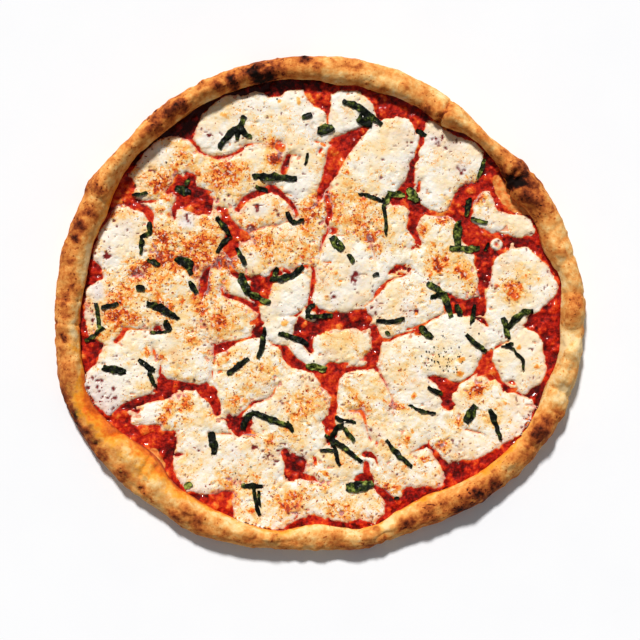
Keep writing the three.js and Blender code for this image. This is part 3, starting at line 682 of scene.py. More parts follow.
# Places that the cheese left bare, as streaks of the same kind.
BARE = (
    ((-96, 122, 2.5), (-93, 118, 1.8), (-89, 113, 1.5), (-84, 110, 1), (-79, 108.6, 1), (-72, 108.5, 1.5),
     (-66, 110.5, 1.2), (-61, 112.5, 1.5), (-57, 115.5, 1.8), (-54, 118, 1.2), (-49, 118.8, 0.7),
     (-44, 119, 0.4)), ((-26.5, 98, 2.6), (-25, 104, 3), (-23.5, 109, 2.4)), ((-23, 109.7, 1),
     (-18, 110.3, 0.6)), ((-99, 96, 2.4), (-96, 93, 4.5), (-100, 87, 8), (-98, 79, 9), (-97, 74, 6),
     (-91, 70, 4.5), (-90, 68, 3)), ((-105, 93, 3.5), (-109, 86, 3), (-113, 83, 1.8)), ((-91, 83, 4),
     (-86, 83, 2.6), (-81, 82.5, 1.2)), ((-89, 77, 4), (-85, 77, 2)), ((-104, 74, 4), (-108, 71, 2.4),
     (-108.5, 66, 1.5), (-108, 63, 0.8)), ((-141, 93, 1.5), (-139, 88, 2.2), (-141, 83, 3.5),
     (-142, 77, 4), (-137, 72, 3), (-130, 70.5, 3), (-126.5, 66, 3.4), (-125.5, 61, 2.2),
     (-124, 57, 0.7)), ((-138, 76, 2.4), (-131, 75.5, 1.2), (-126, 75.8, 1.4), (-120, 76.5, 0.8)),
    ((-172, 33, 2.6), (-166, 25, 4), (-164, 20, 3), (-172, 16, 3)), ((-139, 20.5, 0.6),
     (-131, 21.5, 0.8)), ((-82, 27, 0.9), (-85, 22, 2.8), (-86.5, 17, 3.4), (-86, 12, 2.8), (-88, 8, 2.6),
     (-88, 4, 1)), ((-75, 70, 2), (-71, 68, 3.4), (-69, 62, 3), (-67, 57, 4.4), (-62, 52, 5.2),
     (-57, 50, 4.6), (-52.5, 48.5, 2)), ((-66, 48, 3.4), (-64, 43, 1.8)), ((-66, 36, 2.6),
     (-63, 38, 1.6)), ((-75, 31, 1.3), (-74.5, 27, 0.8)), ((-67, 28.5, 1.3), (-65, 23, 2.3),
     (-60, 20, 2.3), (-52, 18.5, 2.2), (-46, 16.5, 3.4), (-41, 13, 4.4), (-40, 8, 3), (-39, 4.5, 1.5)),
    ((-44, 17, 2), (-36, 17, 1.6), (-32, 16, 1)), ((-73, 12, 0.8), (-72, 7, 1.5), (-66, 5, 1.5),
     (-60, 3.2, 2), (-53, 0.2, 2.5), (-47, -4, 2.3), (-45, -7, 0.9)), ((-44.5, -8, 0.8), (-46, -13, 2.6),
     (-51, -14.5, 1.4)), ((-46, -14, 3.2), (-42.5, -14.5, 1.4)), ((-46, -18, 2.6), (-48.5, -22, 1.6)),
    ((-44, -24, 0.9), (-52, -25.5, 1), (-60, -27.5, 1.1), (-66, -30, 1.8), (-71, -32, 3.6),
     (-76, -33.5, 3.6), (-78, -37, 1.6)), ((-69, -30, 2.5), (-62, -28, 1.2)), ((-152, -28.5, 1.6),
     (-148, -24.5, 2), (-145, -19.5, 1.8), (-141, -18.4, 1), (-136, -19.4, 0.5), (-128, -19.6, 0.4)),
    ((-124, -21.7, 1), (-118, -22.4, 0.6)), ((-124, -33, 0.6), (-122.5, -40, 0.9)), ((-118, -44, 0.5),
     (-119, -52, 1.2)), ((-118, -53, 1.4), (-117, -58, 4), (-115, -63, 7), (-106, -61, 4),
     (-98, -61.6, 3.1), (-91, -62.5, 2.6), (-86, -68, 2.8), (-80, -70, 4.4), (-77, -76, 4),
     (-76, -81, 3)), ((-115, -66, 5.5), (-122, -69.5, 3.5), (-130, -71.6, 3.2), (-138, -74, 3.2),
     (-145, -78, 3.6), (-150, -84, 5)), ((-79, -62, 0.6), (-79.5, -66, 1.5)), ((-78.5, -38, 0.7),
     (-78.5, -46, 0.5)), ((-80, -50, 0.4), (-80, -57, 0.4)), ((-33, -62, 0.7), (-34.5, -67, 0.8),
     (-38, -70.5, 0.9), (-44, -72.6, 0.9), (-49, -73.4, 0.9), (-53, -77, 1), (-57, -81, 1.3),
     (-60, -84, 1.6)), ((-74, -85.3, 0.6), (-67, -86.8, 1.8), (-63, -90, 5), (-61, -94.6, 4.4)),
    ((-83, -96.2, 0.7), (-74, -96.6, 0.5), (-66, -97, 0.9)), ((-58, -94, 3.8), (-52, -95, 2.4),
     (-48, -97, 0.8)), ((-142, -94, 3.5), (-134, -93.8, 3.4), (-126, -93.4, 3.6), (-121, -92.4, 3)),
    ((-120, -98, 5), (-114, -104, 4)), ((-107, -112.5, 2), (-102, -112, 0.9)), ((-26, -111, 3.4),
     (-23.5, -117, 3.8), (-21, -124, 4.2), (-16, -127.6, 3.4), (-10, -128.6, 2.8), (-5, -130.2, 2),
     (-1, -132.5, 0.8)), ((-19, -160.5, 0.8), (-17, -157.5, 0.8)), ((10, -71, 2), (10.5, -76, 2.8),
     (9, -82, 3), (8.6, -87, 2.4), (8, -92, 1.4)), ((8, -98, 2), (6, -102, 1.2)), ((22, -79.6, 0.7),
     (30, -80, 1.4), (33, -84, 1.3), (34, -90, 0.7), (35.5, -96, 0.5), (38, -102, 0.4)),
    ((33.5, -112, 2.4), (37, -112, 2.6), (41, -115, 1.3), (43.5, -121, 0.6)), ((34, -119, 2.4),
     (35, -126, 2.8), (33.5, -132, 2.8)), ((41, -136, 1.6), (46, -140, 3), (51, -146, 4),
     (58, -149, 3.6)), ((68, -110.6, 0.6), (75, -107.6, 0.8), (80, -105, 1.4), (85, -110, 2),
     (88, -115, 2.6), (92, -119, 3.2), (95, -124, 4.2), (98, -129, 4.6)), ((81, -102, 0.8),
     (81, -106, 1.4)), ((81, -55, 1.4), (86, -56.5, 3.4), (92, -59.5, 4.6), (99, -59.6, 1.6)),
    ((93, -61, 4.6), (94.5, -67, 3.8), (94, -72, 2), (94, -77, 0.5)), ((65, -19.2, 0.8), (72, -18, 1.3),
     (77, -15.6, 1), (84, -11.2, 0.7), (93, -7.2, 0.8)), ((46, -27, 1.4), (52, -27.4, 1.3),
     (57, -24, 1.6), (64, -22.2, 1), (70, -20.3, 1.3), (76, -18.8, 1)), ((33, -2, 0.6), (39, 2.4, 0.7),
     (42, 7, 1.5), (46, 12, 1.7), (50, 16.4, 1.1), (56, 19, 0.6), (64, 21, 0.6)), ((116, -10.5, 1.8),
     (121, -12.5, 2.3), (124.4, -16.5, 1)), ((98, 3, 2.2), (106, 1, 2.2), (111, -3, 1.8)),
    ((130, -33, 0.9), (136, -29.8, 0.7), (140, -28, 0.6)), ((143, -21.5, 0.5), (146, -18.6, 0.4)),
    ((127, -35, 1.5), (126.6, -39, 2)), ((121.5, -45, 4), (126, -47, 4.6), (130, -52, 2.4),
     (133.5, -57.6, 1.5), (138, -61.4, 1.2), (144, -65.2, 1.1), (150, -68.2, 1.2), (156, -68.6, 2.2)),
    ((103, -59.5, 0.7), (109, -56, 0.7), (114, -52.5, 1), (118, -49, 2.4)), ((108, -93.4, 0.5),
     (120, -96.4, 0.4)), ((25, 124, 5.6), (19, 119, 7.6), (12, 111, 7.2), (9.5, 102, 6.3), (6.5, 95, 4.8),
     (4, 90, 3.8), (1, 84, 3), (0, 79, 2.4)), ((-4, 120.6, 0.5), (0, 119.6, 0.8), (3.4, 117.4, 1)),
    ((1, 114.6, 1), (-0.5, 112.6, 0.6)), ((-5, 158, 7.6), (0, 152.5, 8), (3.6, 147.5, 5), (5.4, 143, 2.3),
     (5.5, 140, 0.8), (5.8, 133, 0.5)), ((76, 126, 1.6), (75.5, 120, 2.3), (72, 113, 1.6), (72, 108, 2),
     (68.5, 103, 2.4), (68, 98, 2.6), (67, 92, 3.6), (64, 86, 4.4), (57, 79.5, 3)), ((74, 90, 1.4),
     (73, 84, 1.6)), ((70, 65, 4.4), (68, 57, 4.2), (70.5, 51, 2.4), (74.5, 44, 1.6)), ((131, 77, 2.4),
     (134, 71.4, 3.2), (141, 68.8, 2.8), (150, 68, 2.2)), ((5, 79, 2), (6.6, 73, 2.3), (7.4, 66, 2.3),
     (5.6, 61.6, 1.9), (6, 56, 0.9), (5.4, 52.6, 1.4), (3, 49.4, 1.6), (1.8, 46, 1.2), (0.6, 41.6, 0.5),
     (0.2, 34, 0.5)), ((3, 30.6, 0.6), (8, 30.6, 0.4)), ((-6, 28, 1.4), (-4.6, 25, 1.2), (-5, 16, 1.9),
     (-6, 10, 1.7), (-7.2, 5, 1), (-9.2, 0, 0.4)), ((-36, 21, 1.8), (-33, 25, 1.2), (-28, 27, 0.8),
     (-25.5, 24.6, 1.8), (-21.5, 22, 1.2), (-16, 26.6, 1.3), (-9, 28, 1.3)), ((-30, -9.4, 0.3),
     (-20, -9.2, 0.4), (-17.5, -9, 1.3), (-14, -6, 1), (-12, -3, 0.4)), ((-17, -13, 1), (-16, -18, 2.2),
     (-11, -20, 3.6), (-8.5, -25, 4), (-9, -30, 4), (-7, -35, 2.6)), ((-13, -16.4, 1.2), (-8, -16, 1.4),
     (-3, -15.6, 2.6), (3, -14, 4.6), (10, -13, 6.2), (20, -13, 6.5), (28, -11.5, 7.2), (33, -12, 6)),
    ((-38, -27.6, 0.5), (-34.6, -30.4, 0.9), (-30.6, -31.6, 1), (-26, -34, 3.6), (-24, -39, 4.6),
     (-19, -44, 4)), ((55, 28, 0.7), (60, 27, 1.5), (64.5, 26, 1)), ((-52, 52.6, 0.3), (-40, 57.4, 0.5),
     (-30, 58.6, 0.4), (-24, 61, 0.5)), ((36, 48, 0.3), (38, 44, 0.4), (42, 32, 0.3)), ((-61, 70, 2.4),
     (-56, 77, 2.4), (-50, 80.6, 2.8), (-43, 83.4, 2.8), (-36, 85.4, 3), (-30, 82, 1.9), (-24, 77, 1.9),
     (-19, 71, 1.7), (-17, 66, 1.5), (-19, 63, 0.8)), ((-34, 87, 1.6), (-28, 82, 1.4), (-21, 80, 0.7)),
    ((114, 50, 3), (122, 48, 3), (132, 50, 3.4), (142, 48, 2.6), (150, 46, 2.4), (160, 44, 3)),
    ((122, 36, 3), (120, 24, 2.6), (119.5, 12, 2.4), (121.5, 2, 2.6), (121, -8, 2.4)), ((73, 71, 3.4),
     (81, 67.5, 2.2), (90, 66, 1.6), (98, 68, 2.2)), ((30, 127, 4), (34, 130, 2.6)), ((40, -46, 2),
     (44, -51, 1.3), (48, -58, 0.7), (53, -68, 0.6), (54, -74, 0.4)), ((40, -18, 3), (41.5, -26, 3.6),
     (42, -36, 3.8), (40, -43, 3.2), (35, -47.5, 2.4)), ((0, -50.5, 2.4), (8, -52, 3.6), (15, -50, 2.6),
     (24, -48.5, 1.8), (32, -48, 2), (38, -47, 2)), ((-18, -44, 3.6), (-11, -48, 2.6), (-3, -50.5, 2.4)),
    ((11, -57, 3.4), (11, -64, 2.2), (10.5, -72, 1.8)),
)
# A ring of cheese left on the bare sauce: x, y, radius and half width, and the slice that it came from.
RING = (131, 44, 2.8, 1.7)
RING_SLICE = 24
# Blisters that browned: x, y, radius and how dark, and dark pits of the same kind.
BROWNED = (
    (131.5, 43.5, 2.2, 0.4), (-64, -161.5, 2.8, 1), (-38, -167.5, 2.6, 0.8), (-33, -168.5, 2.6, 0.7),
    (-51, 57, 2.8, 0.7), (-44, 62, 1.8, 0.5), (88, 26.5, 3, 0.5), (101, 25, 2.2, 0.5), (94, 33, 2, 0.45),
    (106, 21, 2.5, 0.5), (103, -52, 2.6, 0.6), (69.5, -69, 2, 0.7), (105, -41, 2.8, 0.5),
    (78, -116, 2.5, 0.7), (57, -137.5, 2.6, 0.7), (50, -135, 2.2, 0.4), (-9, -144, 2.2, 0.3),
    (7, -149, 3, 0.3), (15, 14, 1.6, 0.3), (-25.5, -15, 2.4, 0.4), (-30, 150, 2, 0.4),
    (-16, 150, 2.4, 0.4), (-122, 84, 2.4, 0.5), (-91, 97, 2, 0.5), (5, 4, 2.6, 0.3), (145, 5, 3.4, 0.4),
    (118, 7, 2.4, 0.6), (131, 13, 1.6, 0.7), (117, -63, 4.6, 0.3), (103, -90, 3, 0.4),
    (65, -101, 2.4, 0.4), (54.5, -75, 3, 0.5), (62, -77, 1.8, 0.4), (-2, -76, 2.4, 0.3),
    (-8, -89, 1.8, 0.4), (-34, 106, 3.2, 0.3), (-60, -149, 1.8, 0.6), (-50, -154, 2, 0.6),
    (-34, -137, 1.6, 0.6), (-71, 140, 3, 0.25), (137, -73, 2, 0.4), (-101, -68, 1.6, 0.4),
    (-111, -72, 2.2, 0.4), (-63, -72, 1.8, 0.3), (148, -32, 1.8, 0.5), (161, -47, 1.8, 0.3),
    (87, 34, 4, 0.2), (12, 22, 2.6, 0.3), (-9, -120, 2, 0.5), (3, -126, 2.4, 0.5), (46, -102, 1.6, 0.3),
)
PITTED = (
    (-47, 72, 1.7), (-46.5, 69, 1.2), (-153, -63, 1.5), (-152, -70, 1.6), (-82, 124.5, 1.3),
    (-88, 129, 1.2), (27, 22, 2.6), (24, 19.5, 1.8), (10, 5, 1.6), (26, 14, 0.9), (45, 93.5, 1.6),
    (103, 100, 2), (105, 97, 1.2), (-31, 66, 1.4), (-32, 69, 1), (-98, 61, 1.2), (-100, 65, 1),
    (-86, -16, 1.6), (-84, -19, 1), (-76, 78, 0.9), (-68, 80, 0.9), (-71, 77, 0.9), (-162, -57, 1.5),
    (-165, -62, 1.3), (-157, -70, 1), (-48, -106, 1.1), (-90, -109, 1), (-85, -106, 1), (38, -94, 1.4),
    (93, 38, 0.8), (140, -19, 0.8), (129, -20, 0.9), (-28, -74, 1.2), (-33, -75, 1), (3, 24, 0.8),
    (5, 22, 0.8), (38, -158, 1.3), (-58, -147, 1.1), (-35, -113, 1.4), (-33, -117, 1.4), (-167, 37, 1),
    (-160, 35, 1.1), (-160, 46, 0.8), (-24, -36, 1.2), (104, -82, 0.9), (150, -92, 1.2), (153, -90, 1.2),
)
# Where the cheese is so thin that it turned greyish pink and lacy: x, y, radius and how much.
LACY = (
    (-173, -62, 6, 1.0), (-165, -58, 7, 0.8), (-163, -68, 7, 1.0), (-157, -71, 7, 1.0),
    (-154, -78, 7, 1.0), (-99, 62, 7, 0.9), (-143, 58, 9, 0.45), (-158, 36, 6, 0.8), (63, 124, 8, 0.5),
    (86, 122, 6, 1.0), (97, 118, 7, 0.7), (105, 100, 6, 1.0), (-39, -61, 4, 0.9), (-29, -73, 5, 0.9),
    (-13.6, -59, 4, 0.9), (-49, -106, 5, 0.9), (-36, -113, 7, 0.85), (-47, 71, 7, 0.8), (-22, 70, 5, 0.6),
    (-164, 8, 8, 0.95), (-167, -6, 7, 0.95), (-107, -38, 6, 0.6), (-83, -30, 6, 0.6), (-8, -59, 6, 0.7),
    (101, -109, 6, 0.9), (158, -84, 8, 0.85), (146, -76, 6, 0.6), (42, -96, 6, 0.6), (80, -75, 6, 0.6),
    (90, -129, 6, 0.8), (66, -6, 7, 0.95), (42, -4, 8, 0.7), (27, 20, 7, 0.8), (172, 24, 5, 0.6),
    (-87, -17, 6, 0.8), (-15, -116, 6, 0.8), (-16, -157, 8, 0.6), (-62, -112, 7, 0.5),
    (-76, -140, 7, 0.5), (37, -160, 7, 0.8), (10, 5, 6, 0.5), (58, -128, 6, 0.4), (-84, 126, 6, 0.5),
    (-130, 105, 8, 0.5), (128, 58, 5, 0.3), (-60, 68, 5, 0.6), (-30, 68, 5, 0.8), (137, 30, 6, 0.5),
    (128, 14, 4, 0.7), (70, -58, 6, 0.4),
)
# Pools of orange oil on cheese and sauce, and the whitest places, with less than none: x, y, radius
# and strength.
POOLS = (
    (-115, 95, 9, 0.3), (-122, 88, 5, 0.4), (-72, 92, 13, 0.45), (-62, 100, 8, 0.25), (-119, 50, 6, 0.6),
    (-120, 36, 7, 0.5), (-104, 48, 12, 0.25), (-88, 40, 12, 0.25), (-135, 25, 8, 0.4),
    (-110, 26, 12, 0.3), (-90, 27, 8, 0.3), (-150, 8, 9, 0.25), (-152, -10, 7, 0.45), (-140, -8, 8, 0.3),
    (-86, 12, 5, 0.8), (-88, -3, 5, 0.5), (-105, 10, 9, -0.25), (-74, -12, 7, 0.4), (-95, -25, 5, 0.3),
    (-128, -36, 5, 0.5), (-118, -40, 4, 0.7), (-33, 108, 6, 0.6), (-34, 120, 5, 0.6), (-43, 120, 4, 0.5),
    (20, 97, 5, 0.5), (24, 86, 8, 0.4), (8, 78, 5, 0.4), (30, 64, 12, 0.08), (20, 55, 10, 0.08),
    (36, 48, 6, 0.4), (42, 40, 6, 0.5), (-3, 72, 8, 0.3), (-20, 45, 14, 0.25), (-42, 40, 10, 0.3),
    (-10, 62, 6, 0.3), (-50, 58, 5, 0.4), (-65, 33, 7, 0.5), (-73, 28, 6, 0.4), (88, 30, 8, 0.6),
    (80, 20, 6, 0.3), (105, 22, 6, 0.4), (115, 10, 6, 0.5), (140, 10, 8, 0.4), (120, -62, 8, 0.5),
    (103, -88, 6, 0.6), (55, -76, 6, 0.6), (35, -78, 7, 0.5), (25, -72, 6, 0.3), (64, -100, 5, 0.4),
    (20, -155, 9, 0.5), (5, -148, 8, 0.4), (-25, -148, 9, 0.4), (-15, -142, 8, 0.3), (-70, -130, 9, 0.3),
    (-100, -75, 8, 0.4), (-113, -80, 5, 0.4), (-118, -86, 4, 0.6), (-80, -83, 5, 0.5), (-62, -72, 6, 0.3),
    (-20, -82, 8, 0.4), (-10, -76, 6, 0.3), (-28, -92, 6, 0.4), (-38, -101, 5, 0.6), (50, -137, 7, 0.5),
    (76, -116, 4, 0.4), (90, -106, 5, 0.7), (-104, 108, 6, 0.3), (-146, 48, 15, -0.6),
    (-77, 128, 14, -0.2), (-70, 76, 8, -0.5), (-99, 61, 7, -0.8), (-48, 112, 8, -0.5),
    (-122, 110, 9, -0.4), (-166, 8, 7, -0.8), (-172, -10, 6, -0.6), (-100, -12, 9, -0.5),
    (-112, -30, 8, -0.4), (-82, -22, 8, -0.3), (-152, -58, 16, -0.3), (-50, 32, 8, -0.5),
    (-22, 56, 9, -0.6), (-45, 68, 9, -0.5), (-60, 12, 7, -0.7), (-128, -82, 7, -0.5), (-70, 10, 4, 0.4),
    (-25, 84, 7, -0.5), (58, 58, 7, -0.5), (30, 44, 8, -0.15), (-147, 86, 7, 0.9), (-148, 76, 6, 0.8),
    (-155, 66, 5, 0.7), (-40, 11, 5, 1.0), (-6, 153, 6, 0.8), (76, 54, 5, 0.8), (71, 64, 4, 0.8),
    (124, -46, 5, 0.9), (74, 134, 5, 0.8), (112, 52, 4, 0.5), (100, 2, 4, 0.6), (31, -37, 5, 0.7),
    (-52, -96, 4, 0.8), (-128, -101, 5, 0.5), (-75, -148, 8, 0.9), (60, -152, 5, 0.5), (-165, 62, 4, 0.8),
    (-172, 26, 3, 0.5), (28, 124, 6, 0.4), (14, 114, 12, 0.8), (112, 84, 14, 0.9), (14, -27, 8, 0.04),
    (147, 15, 10, 0.4), (18, -13, 8, -0.9), (-96, -80, 9, 0.08), (58, -20, 7, 0.3), (-80, -38, 6, 0.35),
    (56, -122, 9, 0.2), (66, -42, 12, 0.15), (125, -88, 12, 0.12), (-96, 8, 12, -0.15), (36, 118, 5, 0.3),
    (96, 68, 8, 0.3), (-138, -96, 14, 0.35), (45, -3, 3, 0.2), (-10, -20, 5, 0.4), (90, 64, 5, 0.6),
    (118, 78, 4, 0.6),
)

# Where the cheese fried golden without browning: x, y, radius and how much.
GOLDEN = (
    (16, -27, 11, 1.0), (-4, -74, 9, 0.8), (41, -64, 8, 0.8), (28, -81, 7, 0.7), (117, -64, 8, 1.0),
    (141, 10, 9, 1.0), (131, 22, 9, 0.5), (-81, 96, 12, 0.7), (-98, -80, 8, 0.3), (125, -85, 8, 0.4),
    (-57, 99, 8, 0.5), (45, -107, 8, 0.5), (21, 90, 8, 1.0), (104, 24, 8, 0.7), (88, 34, 9, 1.0),
    (45, 120, 12, 0.3), (-5, 80, 6, 0.6), (-112, -38, 8, 0.6), (-95, 3, 10, 0.2), (-107, -72, 8, 0.5),
    (-65, -80, 8, 0.6), (-16, -84, 10, 0.6), (-22, -146, 10, 0.6), (-48, -50, 9, 0.5), (-124, 91, 8, 0.8),
    (66, -44, 10, 0.5), (90, -41, 7, 0.5), (-35, 110, 8, 0.6), (10, -110, 9, 0.4), (20, -150, 9, 0.5),
)

# What the cheese lies on: the sauce, and beside it the slope of the rim.
bed = np.full(cells * cells, SAUCE_LEVEL)
rim_edge = past_foot(map_x.ravel(), map_y.ravel())
on_rim = np.flatnonzero((rim_edge > -4) & (rim_edge < 14))
slope_height = drop(surface(crust.data), map_x.ravel()[on_rim], map_y.ravel()[on_rim])
bed[on_rim] = np.fmax(bed[on_rim], slope_height)
bed = bed.reshape(cells, cells)
rim_edge = rim_edge.reshape(cells, cells)
on_sauce = smooth(0.8, 0.1, bed - SAUCE_LEVEL)
top_map = bed + pulp_map * on_sauce

# How deep each place lies inside each slice, and which slice it belongs to.
slices = sorted(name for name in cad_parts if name.startswith("mozzarella"))
depths = np.full((len(slices), cells, cells), -99.0)
for depth, name in zip(depths, slices):
    low, high = (np.array(corner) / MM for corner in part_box(name))
    window = window_round(low, high)
    x, y = map_x[window].ravel(), map_y[window].ravel()
    inside = ~np.isnan(drop(surface(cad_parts[name].data), x, y))
    block = inside.reshape(map_x[window].shape)
    border = block & ~(np.roll(block, 1, 0) & np.roll(block, -1, 0) & np.roll(block, 1, 1)
                       & np.roll(block, -1, 1))
    edges = KDTree(np.count_nonzero(border))
    for index in np.flatnonzero(border.ravel()):
        edges.insert((x[index], y[index], 0), index)
    edges.balance()
    to_edge = np.array([edges.find((px, py, 0))[2] for px, py in zip(x, y)])
    depth[window] = np.where(inside, to_edge, -to_edge).reshape(block.shape) + 0.5
for number, *streak in RUNS:
    window, away = past_streak(streak)
    depths[number - 1][window] = np.maximum(depths[number - 1][window], -away)
deepest = depths.max(axis=0)
belongs = depths.argmax(axis=0)

# Neighbours that nearly touch ran together, apart from the bare places.
joined = deepest.copy()
for row, column in np.ndindex(2 * BRIDGED + 1, 2 * BRIDGED + 1):
    if math.hypot(row - BRIDGED, column - BRIDGED) <= BRIDGED:
        joined = np.minimum(joined, np.roll(deepest, (row - BRIDGED, column - BRIDGED), (0, 1)))
joined = np.maximum(deepest, joined + BRIDGED * CELL)
# How far each place is inside the cheese's own ragged edge, and below 0 how far outside.
melt = joined + 0.6 + 0.6 * noise_map(9, 71) + 0.85 * noise_map(3.4, 75)
nibble = 0.5 * noise_map(4, 78) + 0.3
for streak in BARE:
    window, away = past_streak(streak)
    melt[window] = np.minimum(melt[window], away + nibble[window])
# Cheese that slid against the rim climbs only its foot.
melt -= 1.9 * smooth(0.5, 2.5, rim_edge) + 5 * smooth(4.5, 8, bed - SAUCE_LEVEL)

# The ring is cheese too, where there is none under it.
ring_x, ring_y, ring_radius, ring_half = RING
ring = ring_half - np.abs(np.hypot(map_x - ring_x, map_y - ring_y) - ring_radius)
melt = np.where(ring > -1, np.maximum(melt, ring + 0.3 * noise_map(3, 79)), melt)
depths[RING_SLICE - 1] = np.maximum(depths[RING_SLICE - 1], np.where(ring > -2, ring, -99))
deepest = depths.max(axis=0)
belongs = depths.argmax(axis=0)


def soft_spot(x, y, radius):
    """A map that is 1 at a place and fades out at about twice the radius."""
    return np.exp(-((map_x - x) ** 2 + (map_y - y) ** 2) / radius ** 2)


def strongest(spots):
    """A map of soft spots, each x, y, radius and amount; where they cross, the stronger one."""
    strength = np.zeros((cells, cells))
    for x, y, radius, amount in spots:
        strength = np.maximum(strength, amount * soft_spot(x, y, radius))
    return strength


own_oil = blurred(np.array(OILINESS)[belongs], BLENDED)
oily_map = own_oil + 0.16 * noise_map(22, 101)
for x, y, radius, strength in POOLS:
    oily_map += strength * soft_spot(x, y, radius)
lacy_map = strongest(LACY)
golden_map = strongest(GOLDEN)

# A slice is thin and rounded at its edge, and there it also shows the lumps of the sauce under it.
way_in = np.maximum(melt, 0)
thickness = THICK * (1 - np.exp(-way_in / 2.6)) + 0.3 * smooth(0, 0.5, melt) + np.minimum(melt, 0)
thickness += np.clip(pulp_map, -0.2, 1.4) * on_sauce * (0.15 + 0.85 * np.exp(-way_in / 3))
curds = 0.34 * noise_map(17, 91) + (0.15 + 0.15 * np.clip(oily_map, 0, 1)) * noise_map(3.6, 94)
thickness += curds * smooth(0, 4, melt)
off_rim = smooth(3, 0, rim_edge)
hole = smooth(0.85, 1.15, noise_map(4.2, 85, 2) + 0.2 * oily_map) * smooth(0, 3, melt) * off_rim
lace = smooth(0.30, 0.62, noise_map(2.6, 88, 2) + 0.6 * (lacy_map - 1)) * smooth(0, 1.5, melt) * off_rim
thickness -= 1.2 * hole
thickness -= 0.9 * lace
browned = np.zeros((cells, cells))
pitted = lace.copy()
frayed = 0.55 * noise_map(2.6, 97)
for x, y, size, dark in BROWNED:
    away = np.hypot(map_x - x, map_y - y) / size
    browned = np.maximum(browned, dark * smooth(1.5, 0.1, away + frayed))
    thickness += 0.45 * smooth(1.3, 0.3, away)
for x, y, size in PITTED:
    away = np.hypot(map_x - x, map_y - y) / size
    pitted = np.maximum(pitted, smooth(1.3, 0.4, away + frayed))
    thickness -= 0.5 * smooth(1.2, 0.2, away)
cheese_height = bed + thickness
shown_edge = np.minimum(melt, 12) - 7 * hole        # what the finish takes as the way in from the edge

mozzarella = Recipe("melted_mozzarella", {
    "Specular IOR Level": 0.12, "Coat Weight": 0.10, "Coat Roughness": 0.14,
    "Subsurface Weight": 0.10, "Subsurface Scale": 0.002, "Subsurface Radius": (1.0, 0.6, 0.35)})
oily = mozzarella.mask("oily")
brown = mozzarella.mask("browned")
margin = mozzarella.mask("edge")
lacy = mozzarella.mask("lacy")
# How far each spot is from plain curd to burnt: the oil gathers in mottles and in fine threads.
mottle = mozzarella.speckle(6.5, 4, 0.62) - 0.5
thread = mozzarella.speckle(2.3, 3, 0.66, 0.7) - 0.5
creamy = mozzarella.step(mozzarella.speckle(17, 3), 0.42, 0.60)
ember = mozzarella.step(mozzarella.speckle(4.2, 4, 0.62, 0.6) + 0.17 * oily, 0.655, 0.72)
# Fine lines of oil and sauce between the curds, in patches.
vein = 1 - mozzarella.step(abs(mozzarella.speckle(7, 4, 0.6, 0.3) - 0.5), 0.003, 0.018)
vein = vein * mozzarella.step(mozzarella.speckle(20, 2) + 0.16 * oily, 0.56, 0.66)
oil_line = 1 - mozzarella.step(margin + 1.5 * (mozzarella.speckle(4, 2) - 0.5), -0.2, 0.9)
tint = (0.11 * creamy + 0.15 * mozzarella.mask("golden") + oily * (0.44 * oily + 1.9 * mottle + 0.9 * thread)
        + 0.30 * ember * mozzarella.step(oily, 0.02, 0.25) + 0.40 * oil_line + 0.34 * vein
        + 0.36 * mozzarella.step(brown + 0.5 * thread, 0.02, 0.35) + 0.50 * mozzarella.step(brown, 0.45, 0.9))
cream = mozzarella.ramp(tint, [
    (0.00, srgb(251, 243, 229)), (0.08, srgb(249, 232, 202)), (0.20, srgb(248, 212, 150)),
    (0.34, srgb(248, 185, 97)), (0.48, srgb(244, 148, 54)), (0.62, srgb(234, 104, 28)),
    (0.80, srgb(200, 64, 20)), (1.00, srgb(118, 36, 16)),
])
curd = mozzarella.step(mozzarella.speckle(2.6, 2), 0.57, 0.66)
cream = mozzarella.mix(cream, srgb(252, 240, 218), 0.6 * curd * mozzarella.step(oily, 0.1, 0.5))
# Thin cheese looks greyish pink; specks of browning and pits down to the sauce lie all over it.
inside_edge = margin + 12.0 * (mozzarella.speckle(8, 3) - 0.5)
skin_thin = 1 - mozzarella.step(inside_edge, -0.4, 3.0)
thin_patch = mozzarella.step(mozzarella.speckle(13, 2), 0.60, 0.72)
plain = 1 - mozzarella.step(oily, 0.15, 0.45)
thinned = 0.45 * skin_thin + 0.4 * thin_patch * plain + 0.7 * lacy * (0.4 + 0.6 * plain)
cream = mozzarella.mix(cream, srgb(214, 197, 198), 0.8 * thinned)
speck = mozzarella.step(mozzarella.speckle(1.8, 1) + 0.16 * oily, 0.745, 0.79)
cream = mozzarella.mix(cream, srgb(164, 52, 20), speck)
pit = mozzarella.step(mozzarella.speckle(2.3, 2) + 0.15 * thinned, 0.72, 0.76)
cream = mozzarella.mix(cream, srgb(150, 30, 22), pit)
cream = mozzarella.mix(cream, srgb(122, 28, 28), mozzarella.mask("pitted"))
mozzarella_finish = mozzarella.finish(
    cream, 0.40 + 0.25 * mozzarella.speckle(4, 3),
    [(mozzarella.speckle(3.2, 4, 0.6), 0.65), (pit, -0.25), (mozzarella.speckle(1.1, 3), 0.18)])

